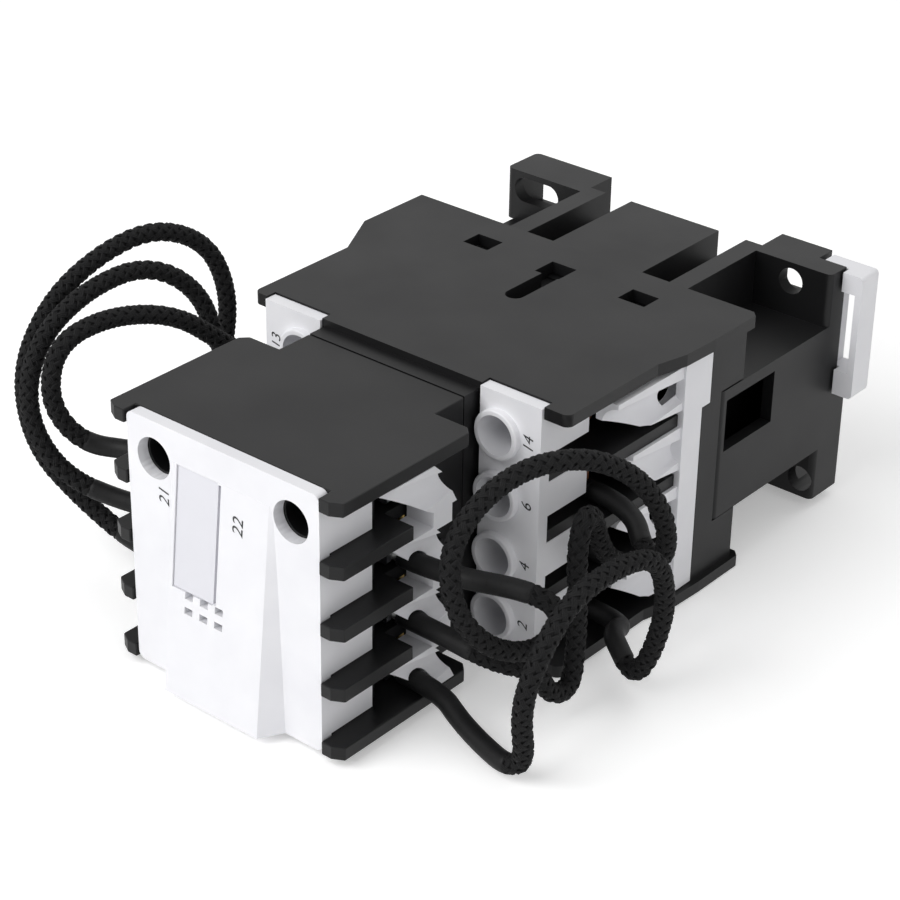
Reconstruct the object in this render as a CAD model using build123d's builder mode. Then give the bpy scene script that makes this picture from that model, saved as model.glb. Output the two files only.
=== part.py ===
from build123d import *
from math import pi, radians, tan
import os

# Contactor for switching capacitors, with its front block and six damping leads, lying on its side.
# X is the height of the device: supply terminals at -X, load terminals at +X.
# Y is the depth: the mounting face is Y = 0 and the front is toward -Y.
# Z is the width, up here, with the four poles one above the other.
# A depth is a distance in front of the mounting face.

# Poles and running clearances
housing_half_z = 22.5
plate_margin = 1.7
pole_count = 4
pole_pitch = (2 * housing_half_z - 2 * plate_margin) / pole_count
wall = 2.0
run_gap = 0.3
fit_gap = 0.2
travel = 4.5
latch_travel = 3.5

# Base housing
base_half_z = housing_half_z - plate_margin
side_x = 32.5
side_half_z = 11.4
base_depth = 38.0
rail_half = 17.6
rail_depth = 6.0
rail_lip = 1.4
ear_in_x = 17.6
ear_out_supply = 34.0
ear_depth = 8.4
flange = 2.4
ear_wall = 1.6
hole_r = 2.25
hole_half_z = 17.5
hole_near_x = 25.0
hole_far_x = 30.0
tower_half_x = 18.0
rib = 3.6
groove_in_x = 9.0
groove_floor_z = 15.0
groove_depth = 27.5
tower_rear = 5.0
plate_rear = 30.5
strip_way_half = 4.1

# Magnet
floor_depth = 7.6
buffer_t = 1.0
core_half_z = 6.5
magnet_half_x = 22.0
core_half_x = magnet_half_x - 1.5
leg_x = 5.0
centre_leg_half = 5.2
yoke_t = 5.0
core_leg_depth = 25.0
pole_air = 0.05
bobbin_wall = 1.0
bobbin_len = 16.1
winding_half_x = 13.6
winding_half_z = 12.2

# Contact housing
plate_t = 2.0
housing_front = 76.1
front_x = 31.7
front_x_supply = 30.0
rear_x = 33.4
rear_x_supply = 34.8
jog_front = 54.5
jog_rear = 45.0
box_half_x = 15.5
head_t = 3.3
head_half_x = 15.2
post_front = 48.0
post_rear = 43.0
pad_rear = 41.0
pad_in_x = 30.6
pad_low_z = 10.8

# Terminals of the contact section
screw_x = 19.5
contact_x = 10.8
bar_rear = 60.0
bar_t = 1.4
tip_t = 0.8
tip_r = 1.6
wire_d = 2.0
clamp_t = 1.4
strip_in_x = 15.8
strip_out_x = 27.2
strip_t = 1.8
barrier_out_front = 66.0
tube_r = 4.0
tube_bore = 3.2
tube_rise = 1.1

# Front block
block_rear = 79.6
block_wing_rear = 86.1
block_front = 114.7
block_half_x = 22.6
block_half_z = housing_half_z - 1.3
block_neck_x = 15.3
fin_t = 2.2
cover_half_x = block_half_x - 3.9
cover_t = 2.0
cover_front = 114.3
tab_rear = 103.5
panel_half_x = 9.4
panel_rise = 3.8
block_screw_x = block_half_x - 9.2
block_contact_x = 6.8
block_bar_rear = 93.7

# Leads
lead_d = 2.8
lead_shift = 2.65
block_lead_shift = 2.4

block_inner_z = block_half_z - fin_t
fin_pitch = (2 * block_inner_z - (pole_count - 1) * fin_t) / pole_count + fin_t

os.makedirs("parts", exist_ok=True)


def at(depth):
    """Plane parallel to the mounting face, its normal toward the front."""
    return Plane.XZ.offset(depth)


def pole_z(index):
    return (index - (pole_count - 1) / 2) * pole_pitch


def cell_z(index):
    return (index - (pole_count - 1) / 2) * fin_pitch


def save(part, label):
    part.label = label
    export_step(part, f"parts/{label}.step")


pole_zs = [pole_z(i) for i in range(pole_count)]
cell_zs = [cell_z(i) for i in range(pole_count)]
barrier_zs = [(pole_zs[i] + pole_zs[i + 1]) / 2 for i in range(pole_count - 1)]
fin_zs = [(cell_zs[i] + cell_zs[i + 1]) / 2 for i in range(pole_count - 1)]
sides = (-1, 1)

# Depth stations that follow from the sizes above
core_rear = floor_depth + buffer_t
leg_tip = core_leg_depth + travel + pole_air
armature_rear = 34.5
armature_t = 5.0
carrier_rear = armature_rear + armature_t + 0.5
bobbin_rear = core_rear + yoke_t + fit_gap
bobbin_front = bobbin_rear + bobbin_len
bar_front = bar_rear + bar_t
tip_front = bar_front + tip_t
bridge_tip_rear = tip_front + travel + 0.1
bridge_rear = bridge_tip_rear + tip_t
bridge_t = 1.2
wire_depth = bar_front + wire_d / 2
clamp_rear = bar_front + wire_d
clamp_front = clamp_rear + clamp_t
chamber_half_x = box_half_x - wall
front_wall_rear = housing_front - wall
carrier_front = front_wall_rear - run_gap
head_front = housing_front + head_t
cell_half = (pole_pitch - wall) / 2
tower_inner_z = groove_floor_z - wall
magnet_half_z = side_half_z - wall

# Latch
latch_rear = 0.4
latch_t = 3.2
latch_lip = 1.1
latch_in_x = 16.0
latch_half_z = 8.0
latch_tab_in = 28.0
latch_tongue_out = 23.5
latch_out_x = 36.5
latch_low_z = -1.6
latch_high_z = 20.4
latch_tab_t = 4.9
latch_window_x = 1.2
latch_window_low = 2.8
latch_window_high = 17.0
spring_in_x = 19.0
peg_x = 25.6
peg_t = 1.2

# Base housing: one black moulding that carries the magnet and holds the device on its panel or rail
with BuildPart() as base:
    with BuildSketch(at(0)):
        Rectangle(2 * side_x, 2 * side_half_z)
    extrude(amount=base_depth)
    with BuildSketch(at(tower_rear)):
        Rectangle(2 * tower_half_x, 2 * base_half_z)
    extrude(amount=plate_rear - fit_gap - tower_rear)
    with BuildSketch(at(plate_rear - fit_gap)):
        Rectangle(2 * tower_half_x, 2 * (housing_half_z - plate_t - fit_gap))
    extrude(amount=base_depth - plate_rear + fit_gap)
    # screw ears
    for z_side in sides:
        for x_in, x_out in ((-ear_out_supply, -ear_in_x), (ear_in_x, side_x)):
            with BuildSketch(at(0)):
                with Locations(((x_in + x_out) / 2, z_side * (side_half_z + base_half_z) / 2)):
                    Rectangle(x_out - x_in, base_half_z - side_half_z)
            extrude(amount=ear_depth)
    upright = base.edges().filter_by(Axis.Z).group_by(Axis.X)
    fillet(upright[0] + upright[-1], 1.0)
    # rail channel across the rear, open at both ends
    with BuildSketch(at(0)):
        Rectangle(2 * rail_half, 2 * base_half_z)
    extrude(amount=rail_depth, mode=Mode.SUBTRACT)
    # fixed hooks for the rail at the supply side
    for z_side in sides:
        with BuildSketch(Plane.XY.offset(z_side * 5.0 - 2.5)):
            with BuildLine():
                Polyline(
                    (-rail_half - 0.5, -1.2),
                    (-rail_half - 0.5, -rail_depth + 1.3),
                    (-rail_half + rail_lip, -rail_depth + 1.3),
                    (-rail_half + rail_lip, -rail_depth + 2.4),
                    (-rail_half, -1.2),
                    close=True,
                )
            make_face()
        extrude(amount=5.0)
    # grooves beside the ribs, at the top and the bottom
    groove_w = tower_half_x - rib - groove_in_x
    for z_side in sides:
        for x_side in sides:
            with BuildSketch(at(0)):
                with Locations(
                    (x_side * (groove_in_x + groove_w / 2), z_side * (groove_floor_z + base_half_z) / 2)
                ):
                    Rectangle(groove_w, base_half_z - groove_floor_z)
            extrude(amount=groove_depth, mode=Mode.SUBTRACT)
    # magnet chamber
    with BuildSketch(at(floor_depth)):
        Rectangle(2 * magnet_half_x, 2 * magnet_half_z)
        Rectangle(2 * (winding_half_x + 0.8), 2 * tower_inner_z)
    extrude(amount=base_depth, mode=Mode.SUBTRACT)
    with BuildSketch(at(plate_rear)):
        Rectangle(2 * (chamber_half_x + 0.5), 2 * (housing_half_z - plate_t - wall))
    extrude(amount=base_depth, mode=Mode.SUBTRACT)
    # side chambers and their windows
    for x_side in sides:
        with BuildSketch(at(12)):
            with Locations((x_side * (magnet_half_x + wall + side_x - wall) / 2, 0)):
                Rectangle(side_x - magnet_half_x - 2 * wall, 2 * magnet_half_z)
        extrude(amount=base_depth, mode=Mode.SUBTRACT)
        with BuildSketch(Plane.YZ.offset(x_side * (side_x - wall / 2))):
            with Locations((-(23.1 + base_depth - 1.6) / 2, (0.3 + magnet_half_z) / 2)):
                Rectangle(base_depth - 1.6 - 23.1, magnet_half_z - 0.3)
        extrude(amount=wall, both=True, mode=Mode.SUBTRACT)
        # way for the coil terminal strip
        with BuildSketch(Plane.XY.offset(magnet_half_z - 2.6)):
            with Locations((x_side * (magnet_half_x + wall / 2), -base_depth + strip_way_half - 0.1)):
                Rectangle(wall + 0.4, 2 * strip_way_half)
        extrude(amount=2.6, mode=Mode.SUBTRACT)
    # ears cored from the rear
    for z_side in sides:
        for x_low, x_high in (
            (-ear_out_supply + ear_wall, -ear_in_x - ear_wall),
            (ear_in_x + ear_wall, latch_tab_in - 0.7 - ear_wall if z_side > 0 else side_x - ear_wall),
        ):
            with BuildSketch(at(0)):
                with Locations(
                    ((x_low + x_high) / 2, z_side * (side_half_z + 1.0 + base_half_z - ear_wall) / 2)
                ):
                    Rectangle(x_high - x_low, base_half_z - ear_wall - side_half_z - 1.0)
            extrude(amount=ear_depth - flange, mode=Mode.SUBTRACT)
    # screw holes: slots at the supply side, round holes 50 and 60 apart from them at the load side
    with BuildSketch(at(0)):
        with Locations(
            (-(hole_near_x + hole_far_x) / 2, hole_half_z),
            (-(hole_near_x + hole_far_x) / 2, -hole_half_z),
        ):
            SlotCenterToCenter(hole_far_x - hole_near_x, 2 * hole_r)
        with Locations((hole_near_x, hole_half_z), (hole_far_x, -hole_half_z)):
            Circle(hole_r)
    extrude(amount=ear_depth + 1, mode=Mode.SUBTRACT)
    # recess for the rail latch
    with BuildSketch(at(0)):
        with Locations(((rail_half + latch_tab_in) / 2, 0)):
            Rectangle(latch_tab_in - rail_half + 0.2, 2 * latch_half_z + 0.6)
        with Locations(
            ((latch_tab_in - 0.7 + side_x + 1) / 2, (latch_low_z - 0.4 + base_half_z) / 2)
        ):
            Rectangle(side_x + 1.7 - latch_tab_in, base_half_z + 0.4 - latch_low_z)
    extrude(amount=latch_rear + latch_t + run_gap, mode=Mode.SUBTRACT)
    with BuildSketch(at(0)):
        with Locations((rail_half + (latch_travel + 1.0) / 2, 0)):
            Rectangle(latch_travel + 1.0, 2 * latch_half_z + 0.6)
    extrude(amount=latch_rear + latch_t + latch_lip + run_gap, mode=Mode.SUBTRACT)
    # peg that the latch spring pushes against
    with BuildSketch(at(latch_rear + 0.2)):
        with Locations((peg_x + peg_t / 2, 0)):
            Rectangle(peg_t, 3.4)
    extrude(amount=latch_t + run_gap)
save(base.part, "base_housing")

# Rail latch: white slider at the load side, pulled outward by its tab
with BuildPart() as latch:
    with BuildSketch(at(latch_rear)):
        with Locations(((latch_in_x + latch_tongue_out) / 2, 0)):
            Rectangle(latch_tongue_out - latch_in_x, 2 * latch_half_z)
        with Locations(((latch_tongue_out + latch_tab_in) / 2, (latch_low_z + latch_half_z) / 2)):
            Rectangle(latch_tab_in + 2 - latch_tongue_out, latch_half_z - latch_low_z)
        with Locations(((latch_tab_in + latch_out_x) / 2, (latch_low_z + latch_high_z) / 2)):
            Rectangle(latch_out_x - latch_tab_in, latch_high_z - latch_low_z)
        # window for the spring and its peg, and the finger window in the tab
        with Locations(((spring_in_x + peg_x + peg_t + fit_gap) / 2, 0)):
            Rectangle(peg_x + peg_t + fit_gap - spring_in_x, 4.0, mode=Mode.SUBTRACT)
    extrude(amount=latch_t)
    # the tab is thicker outside the side wall, with a finger window
    with BuildSketch(at(latch_rear)):
        with Locations(((side_x + run_gap + latch_out_x) / 2, (latch_low_z + latch_high_z) / 2)):
            Rectangle(latch_out_x - side_x - run_gap, latch_high_z - latch_low_z)
    extrude(amount=latch_tab_t)
    tab_corners = latch.edges().filter_by(Axis.Y).group_by(Axis.X)[-1]
    fillet(tab_corners, 0.8)
    with BuildSketch(at(latch_rear)):
        with Locations(
            (
                (side_x - 1.0 + latch_out_x - latch_window_x) / 2,
                (latch_window_low + latch_window_high) / 2,
            )
        ):
            Rectangle(
                latch_out_x - latch_window_x - side_x + 1.0,
                latch_window_high - latch_window_low,
            )
    extrude(amount=latch_tab_t, mode=Mode.SUBTRACT)
    with BuildSketch(Plane.XY.offset(-latch_half_z)):
        with BuildLine():
            Polyline(
                (latch_in_x + 0.9, -latch_rear),
                (latch_in_x + 1.5, -latch_rear),
                (latch_in_x + 1.5, -latch_rear - latch_t - latch_lip),
                (latch_in_x, -latch_rear - latch_t - latch_lip),
                (latch_in_x, -latch_rear - latch_t + 0.4),
                close=True,
            )
        make_face()
    extrude(amount=2 * latch_half_z)
save(latch.part, "rail_latch")


def coil_spring(start, direction, length, radius, wire, turns):
    """Compression spring, one plain helix of round wire."""
    free = length - wire
    with BuildPart() as spring:
        with BuildLine() as path:
            Helix(free / turns, free, radius, center=start + direction * (wire / 2), direction=direction)
        with BuildSketch(Plane(origin=path.line @ 0, z_dir=path.line % 0)):
            RegularPolygon(wire / 2, 6)
        sweep()
    return spring.part


latch_spring = coil_spring(
    Vector(spring_in_x, -latch_rear - latch_t / 2, 0),
    Vector(1, 0, 0),
    peg_x - spring_in_x,
    1.0,
    0.5,
    4,
)
save(latch_spring, "latch_spring")

# Rubber buffers under the fixed core
with BuildPart() as buffers:
    with BuildSketch(at(floor_depth)):
        with Locations((-15, 0), (15, 0)):
            RectangleRounded(7, 2 * core_half_z - 3, 1)
    extrude(amount=buffer_t)
save(buffers.part, "core_buffers")


def e_core(rear, yoke, leg_end, forward):
    """E shaped stack of steel sheets, its legs toward the front or the rear."""
    with BuildPart() as stack:
        with BuildSketch(Plane.XY.offset(-core_half_z)):
            with Locations((0, -rear - yoke / 2)):
                Rectangle(2 * core_half_x, yoke)
            low, high = (rear, leg_end) if forward else (leg_end, rear + yoke)
            for x_mid, width in (
                (-core_half_x + leg_x / 2, leg_x),
                (0, 2 * centre_leg_half),
                (core_half_x - leg_x / 2, leg_x),
            ):
                with Locations((x_mid, -(low + high) / 2)):
                    Rectangle(width, high - low)
        extrude(amount=2 * core_half_z)
    return stack.part


ring_t = 0.5
ring_x = core_half_x - leg_x + 2.6
with BuildPart() as fixed_core:
    add(e_core(core_rear, yoke_t, core_leg_depth, True))
    # slots that the shading rings lie in
    with BuildSketch(at(core_leg_depth - 2.4)):
        for x_side in sides:
            with Locations((x_side * (ring_x + ring_t / 2), 0)):
                Rectangle(ring_t + 0.1, 2 * core_half_z)
    extrude(amount=3, mode=Mode.SUBTRACT)
save(fixed_core.part, "fixed_core")

# Shading rings: copper loops round a part of each outer leg
ring_in_x = core_half_x - leg_x
with BuildPart() as rings:
    with BuildSketch(at(core_leg_depth - 2.2)):
        for x_side in sides:
            with Locations((x_side * (ring_in_x - ring_t - 0.05 + ring_x + ring_t) / 2, 0)):
                Rectangle(ring_x + 2 * ring_t - ring_in_x + 0.05, 2 * (core_half_z + ring_t + 0.05))
            with Locations((x_side * (ring_in_x - 0.05 + ring_x) / 2, 0)):
                Rectangle(ring_x - ring_in_x + 0.05, 2 * (core_half_z + 0.05), mode=Mode.SUBTRACT)
    extrude(amount=1.6)
save(rings.part, "shading_rings")

# Coil bobbin with its winding
bore_half_x = centre_leg_half + 0.6
bore_half_z = core_half_z + 0.6
tube_half_x = bore_half_x + bobbin_wall
tube_half_z = bore_half_z + bobbin_wall
with BuildPart() as bobbin:
    with BuildSketch(at(bobbin_rear)):
        Rectangle(2 * tube_half_x, 2 * tube_half_z)
    extrude(amount=bobbin_len)
    with BuildSketch(at(bobbin_rear), at(bobbin_front - 1.2)):
        RectangleRounded(2 * (winding_half_x + 0.5), 2 * (winding_half_z + 0.5), 2.0)
    extrude(amount=1.2)
    with BuildSketch(at(bobbin_rear)):
        Rectangle(2 * bore_half_x, 2 * bore_half_z)
    extrude(amount=bobbin_len, mode=Mode.SUBTRACT)
save(bobbin.part, "coil_bobbin")

with BuildPart() as winding:
    with BuildSketch(at(bobbin_rear + 1.2)):
        RectangleRounded(2 * winding_half_x, 2 * winding_half_z, 2.4)
        Rectangle(2 * tube_half_x, 2 * tube_half_z, mode=Mode.SUBTRACT)
    extrude(amount=bobbin_len - 2.4)
save(winding.part, "coil_winding")

# Coil terminals: brass strips from the bobbin's front flange to the top cell of each side
strap_t = 0.6
strap_w = 1.8
strap_z = magnet_half_z - 0.3 - strap_w
riser_x = magnet_half_x + wall + strap_t
coil_screw_depth = base_depth + 11.0
terminal_front = 53.0
with BuildPart() as coil_terminals:
    for x_side in sides:
        with BuildSketch(Plane.XY.offset(strap_z)):
            with BuildLine():
                Polyline(
                    (x_side * winding_half_x, -bobbin_front),
                    (x_side * winding_half_x, -bobbin_front - strap_t),
                    (x_side * (riser_x - strap_t), -bobbin_front - strap_t),
                    (x_side * (riser_x - strap_t), -base_depth - wall - 1.6),
                    (x_side * riser_x, -base_depth - wall - 1.6),
                    (x_side * riser_x, -bobbin_front),
                    close=True,
                )
            make_face()
        extrude(amount=strap_w)
        with BuildSketch(Plane.YZ.offset(x_side * riser_x - (strap_t if x_side > 0 else 0))):
            with Locations((-(base_depth + wall + 1.0), (strap_z + pole_zs[-1]) / 2)):
                Rectangle(1.2, pole_zs[-1] - strap_z)
            with Locations((-(base_depth + wall + 0.4 + terminal_front) / 2, pole_zs[-1])):
                Rectangle(terminal_front - base_depth - wall - 0.4, 6.0)
        extrude(amount=strap_t)
        with BuildSketch(Plane.YZ.offset(x_side * riser_x - 1)):
            with Locations((-coil_screw_depth, pole_zs[-1])):
                Circle(1.6)
        extrude(amount=2, mode=Mode.SUBTRACT)
save(coil_terminals.part, "coil_terminals")

# Coil screws: pan heads that lie across the device, seen through the guides
with BuildPart() as coil_screws:
    for x_side in sides:
        face = Plane(origin=(x_side * riser_x, -coil_screw_depth, pole_zs[-1]), z_dir=(x_side, 0, 0))
        with BuildSketch(face):
            Circle(2.6)
        extrude(amount=1.7)
        with BuildSketch(face.offset(1.7)):
            Rectangle(0.7, 4.4)
            Rectangle(4.4, 0.7)
        extrude(amount=-0.7, mode=Mode.SUBTRACT)
        with BuildSketch(face):
            Circle(1.5)
        extrude(amount=-3.2)
save(coil_screws.part, "coil_screws")

# Armature: the moving half of the magnet, with the pin that ties it to the carrier
pin_r = 1.2
with BuildPart() as armature:
    add(e_core(armature_rear, armature_t, leg_tip, False))
    with BuildSketch(Plane.XY.offset(-core_half_z)):
        with Locations((0, -(armature_rear + armature_t - 2.2))):
            Circle(pin_r)
    extrude(amount=2 * core_half_z, mode=Mode.SUBTRACT)
save(armature.part, "armature")

lug_t = 1.8
lug_gap = 0.15
with BuildPart() as pin:
    with BuildSketch(Plane.XY.offset(-core_half_z - lug_gap - lug_t)):
        with Locations((0, -(armature_rear + armature_t - 2.2))):
            Circle(pin_r)
    extrude(amount=2 * (core_half_z + lug_gap + lug_t))
save(pin.part, "armature_pin")

# Contact carrier: the moving comb that holds the four bridges
carrier_half_x = 8.2
carrier_half_z = housing_half_z - plate_t - wall - run_gap
window_rear = bridge_rear - 1.2
window_front = carrier_front - 1.5
carrier_head_front = block_rear + 4.4
carrier_head_x = 5.0
carrier_head_z = 7.0
jaw_x = carrier_head_x + run_gap
jaw_t = 1.2
jaw_half_z = 4.5
jaw_depth = 2.0
with BuildPart() as carrier:
    with BuildSketch(at(carrier_rear)):
        Rectangle(2 * (chamber_half_x - run_gap), 2 * carrier_half_z)
    extrude(amount=2.4)
    with BuildSketch(at(carrier_rear + 2.4)):
        Rectangle(2 * carrier_half_x, 2 * carrier_half_z)
    extrude(amount=carrier_front - carrier_rear - 2.4)
    with BuildSketch(at(carrier_front)):
        RectangleRounded(2 * carrier_head_x, 2 * carrier_head_z, 0.8)
    extrude(amount=carrier_head_front - carrier_front)
    # neck behind the head that the block's slide hooks over
    with BuildSketch(at(carrier_head_front - 2.2)):
        Rectangle(2 * carrier_head_x, 2 * carrier_head_z)
        Rectangle(2 * carrier_head_x - 3.0, 2 * carrier_head_z, mode=Mode.SUBTRACT)
    extrude(amount=1.2, mode=Mode.SUBTRACT)
    # a window for each bridge and its spring
    with BuildSketch(at(window_rear)):
        for z in pole_zs:
            with Locations((0, z)):
                Rectangle(2 * carrier_half_x, 6.0)
    extrude(amount=window_front - window_rear, mode=Mode.SUBTRACT)
    # posts between the windows' two halves, left as ribs at the ends
    with BuildSketch(at(carrier_rear + 4.4)):
        for z in pole_zs:
            with Locations((0, z)):
                Rectangle(2 * carrier_half_x - 3.0, 6.0)
    extrude(amount=window_rear - carrier_rear - 4.4 - 1.6, mode=Mode.SUBTRACT)
    # lugs for the armature pin
    for z_low in (-core_half_z - lug_gap - lug_t, core_half_z + lug_gap):
        with BuildSketch(Plane.XY.offset(z_low)):
            with Locations((0, -(armature_rear + 0.6 + carrier_rear) / 2)):
                Rectangle(7.0, carrier_rear - armature_rear - 0.6)
            with Locations((0, -(armature_rear + armature_t - 2.2))):
                Circle(pin_r, mode=Mode.SUBTRACT)
        extrude(amount=lug_t)
save(carrier.part, "contact_carrier")

# Return springs between the bobbin's flange and the carrier
return_springs = []
for x, z in ((8.4, 10.3), (-8.4, -10.3)):
    return_springs.append(
        coil_spring(
            Vector(x, -bobbin_front, z),
            Vector(0, -1, 0),
            carrier_rear - bobbin_front,
            1.7,
            0.6,
            5,
        )
    )
save(Compound(children=return_springs), "return_springs")

# Moving bridges with silver tips
bridge_half_x = contact_x + tip_r + 0.2
with BuildPart() as bridge:
    with BuildSketch(at(bridge_rear)):
        RectangleRounded(2 * bridge_half_x, 5.0, 1.0)
    extrude(amount=bridge_t)
    with BuildSketch(at(bridge_rear)):
        with Locations((-contact_x, 0), (contact_x, 0)):
            Circle(tip_r)
    extrude(amount=-tip_t)
with BuildPart() as bridges:
    with Locations(*[(0, 0, z) for z in pole_zs]):
        add(bridge.part)
save(bridges.part, "contact_bridges")

bridge_springs = []
for z in pole_zs:
    bridge_springs.append(
        coil_spring(
            Vector(0, -bridge_rear - bridge_t, z),
            Vector(0, -1, 0),
            window_front - bridge_rear - bridge_t,
            1.7,
            0.45,
            2.5,
        )
    )
save(Compound(children=bridge_springs), "bridge_springs")

# Contact housing: black moulding with plates at the top and bottom and barriers between the poles
plate_points = [
    (-front_x_supply, -housing_front),
    (front_x, -housing_front),
    (front_x, -jog_front),
    (rear_x - 0.3, -jog_front + 5.5),
    (rear_x, -jog_rear + 3.0),
    (rear_x, -plate_rear - 1.0),
    (rear_x - 1.0, -plate_rear),
    (-rear_x_supply, -plate_rear),
    (-rear_x_supply, -jog_rear),
    (-front_x_supply, -jog_front),
]
inner_half_z = housing_half_z - plate_t
skirt_x = side_x - 0.1
floor_front = base_depth + wall
with BuildPart() as housing:
    for z_low in (-housing_half_z, inner_half_z):
        with BuildSketch(Plane.XY.offset(z_low)):
            with BuildLine():
                Polyline(*plate_points, close=True)
            make_face()
        extrude(amount=plate_t)
    corners = housing.edges().filter_by(Axis.Z).group_by(Axis.Y)
    fillet(corners[0], 1.2)
    # central box round the carrier, with its front wall and raised head
    with BuildSketch(at(base_depth)):
        Rectangle(2 * box_half_x, 2 * inner_half_z)
    extrude(amount=housing_front - base_depth)
    with BuildSketch(at(housing_front)):
        Rectangle(2 * head_half_x, 2 * (housing_half_z - 1.2))
    extrude(amount=head_t)
    # rear wall of the terminal cells
    with BuildSketch(at(base_depth)):
        Rectangle(2 * skirt_x, 2 * inner_half_z)
    extrude(amount=post_rear - base_depth)
    with BuildSketch(at(floor_front)):
        for x_side in sides:
            with Locations((x_side * (box_half_x + skirt_x - wall) / 2, 0)):
                Rectangle(skirt_x - wall - box_half_x, 2 * inner_half_z)
    extrude(amount=post_rear - floor_front, mode=Mode.SUBTRACT)
    # raised floor and pocket where the magnet's yoke comes through
    with BuildSketch(at(floor_front)):
        Rectangle(2 * (magnet_half_x + 0.4), 2 * magnet_half_z)
    extrude(amount=wall)
    with BuildSketch(at(base_depth)):
        Rectangle(2 * (core_half_x + 0.6), 2 * (core_half_z + 0.6))
    extrude(amount=armature_rear + armature_t + run_gap - base_depth, mode=Mode.SUBTRACT)
    # skirt posts that reach back beside the base
    with BuildSketch(at(plate_rear + 1.5)):
        for x_side in sides:
            for z_side in sides:
                with Locations(
                    (x_side * (skirt_x - 1.2), z_side * (side_half_z + fit_gap + inner_half_z) / 2)
                ):
                    Rectangle(2.4, inner_half_z - side_half_z - fit_gap)
    extrude(amount=base_depth - plate_rear - 1.5)
    # barriers between the poles
    for z in barrier_zs:
        with BuildSketch(Plane.XY.offset(z - wall / 2)):
            with BuildLine():
                Polyline(
                    (-strip_out_x, -housing_front + 0.6),
                    (strip_out_x, -housing_front + 0.6),
                    (strip_out_x, -barrier_out_front),
                    (front_x - 0.2, -barrier_out_front),
                    (front_x - 0.2, -post_front - fit_gap),
                    (strip_out_x, -post_front - fit_gap),
                    (strip_out_x, -floor_front),
                    (-strip_out_x, -floor_front),
                    (-strip_out_x, -post_front - fit_gap),
                    (-front_x_supply + 0.2, -post_front - fit_gap),
                    (-front_x_supply + 0.2, -barrier_out_front),
                    (-strip_out_x, -barrier_out_front),
                    close=True,
                )
            make_face()
        extrude(amount=wall)
    # chamber for the carrier, open to the base
    with BuildSketch(at(base_depth - 1)):
        Rectangle(2 * chamber_half_x, 2 * (inner_half_z - wall))
    extrude(amount=front_wall_rear - base_depth + 1, mode=Mode.SUBTRACT)
    with BuildSketch(at(front_wall_rear - 1)):
        RectangleRounded(2 * carrier_head_x + 1.0, 2 * carrier_head_z + 1.0, 1.0)
    extrude(amount=head_front - front_wall_rear + 2, mode=Mode.SUBTRACT)
    # way for the jaws of the block's slide beside the carrier's head
    with BuildSketch(at(carrier_head_front - jaw_depth - travel - run_gap)):
        Rectangle(2 * (jaw_x + jaw_t + run_gap), 2 * (jaw_half_z + run_gap))
    extrude(amount=travel + 2 * head_t, mode=Mode.SUBTRACT)
    # slots for the fixed contacts
    with BuildSketch(at(bar_rear - fit_gap)):
        for z in pole_zs:
            with Locations((0, z)):
                Rectangle(2 * box_half_x + 1, 6.0 + 2 * fit_gap)
    extrude(amount=bar_t + 2 * fit_gap, mode=Mode.SUBTRACT)
    # seats for the white front strips in the plates and barriers
    with BuildSketch(at(housing_front - strip_t - 0.1)):
        for x_side in sides:
            with Locations((x_side * (strip_in_x + strip_out_x) / 2, 0)):
                Rectangle(strip_out_x - strip_in_x + 2 * 0.1, 2 * housing_half_z + 1)
    extrude(amount=strip_t + 1, mode=Mode.SUBTRACT)
    # seats for the guides' pads beside the coil terminals
    with BuildSketch(at(pad_rear - 0.1)):
        for x_side in sides:
            with Locations((x_side * (pad_in_x + side_x) / 2, (pad_low_z + inner_half_z) / 2)):
                Rectangle(side_x - pad_in_x + 0.2, inner_half_z - pad_low_z)
    extrude(amount=post_rear - pad_rear + 0.1, mode=Mode.SUBTRACT)
    # ways for the coil terminals through the rear wall and the upper barrier
    for x_side in sides:
        with BuildSketch(at(base_depth - 1)):
            with Locations((x_side * (riser_x - 0.3), strap_z + strap_w / 2)):
                Rectangle(2.2, strap_w + 0.6)
        extrude(amount=wall + 2, mode=Mode.SUBTRACT)
        with BuildSketch(at(floor_front - 0.1)):
            with Locations((x_side * (riser_x - 0.3), (strap_z + pole_zs[-1]) / 2)):
                Rectangle(2.2, pole_zs[-1] - strap_z + 2)
        extrude(amount=2.6, mode=Mode.SUBTRACT)
    # guide slot in the top plate for a side block, and its two notches
    with BuildSketch(Plane.XY.offset(inner_half_z - 0.5)):
        with Locations(((1.0, -(housing_front - 31.5), 0))):
            SlotOverall(14.0, 3.2, rotation=90)
        with Locations((0.4, -39.0)):
            Rectangle(4.8, 4.6)
        for x_mid in (-15.0, 16.2):
            with Locations((x_mid, -38.4)):
                Rectangle(5.0, 4.0)
    extrude(amount=plate_t + 1, mode=Mode.SUBTRACT)
save(housing.part, "contact_housing")

# Fixed contacts: copper bars with silver tips, one for each pole and side
with BuildPart() as fixed_contact:
    with BuildSketch(at(bar_rear)):
        with Locations(((carrier_half_x + 1.0 + 24.0) / 2, 0)):
            RectangleRounded(24.0 - carrier_half_x - 1.0, 6.0, 0.5)
        with Locations((screw_x, 0)):
            Circle(1.75, mode=Mode.SUBTRACT)
    extrude(amount=bar_t)
    with BuildSketch(at(bar_front)):
        with Locations((contact_x, 0)):
            Circle(tip_r)
    extrude(amount=tip_t)

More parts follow.
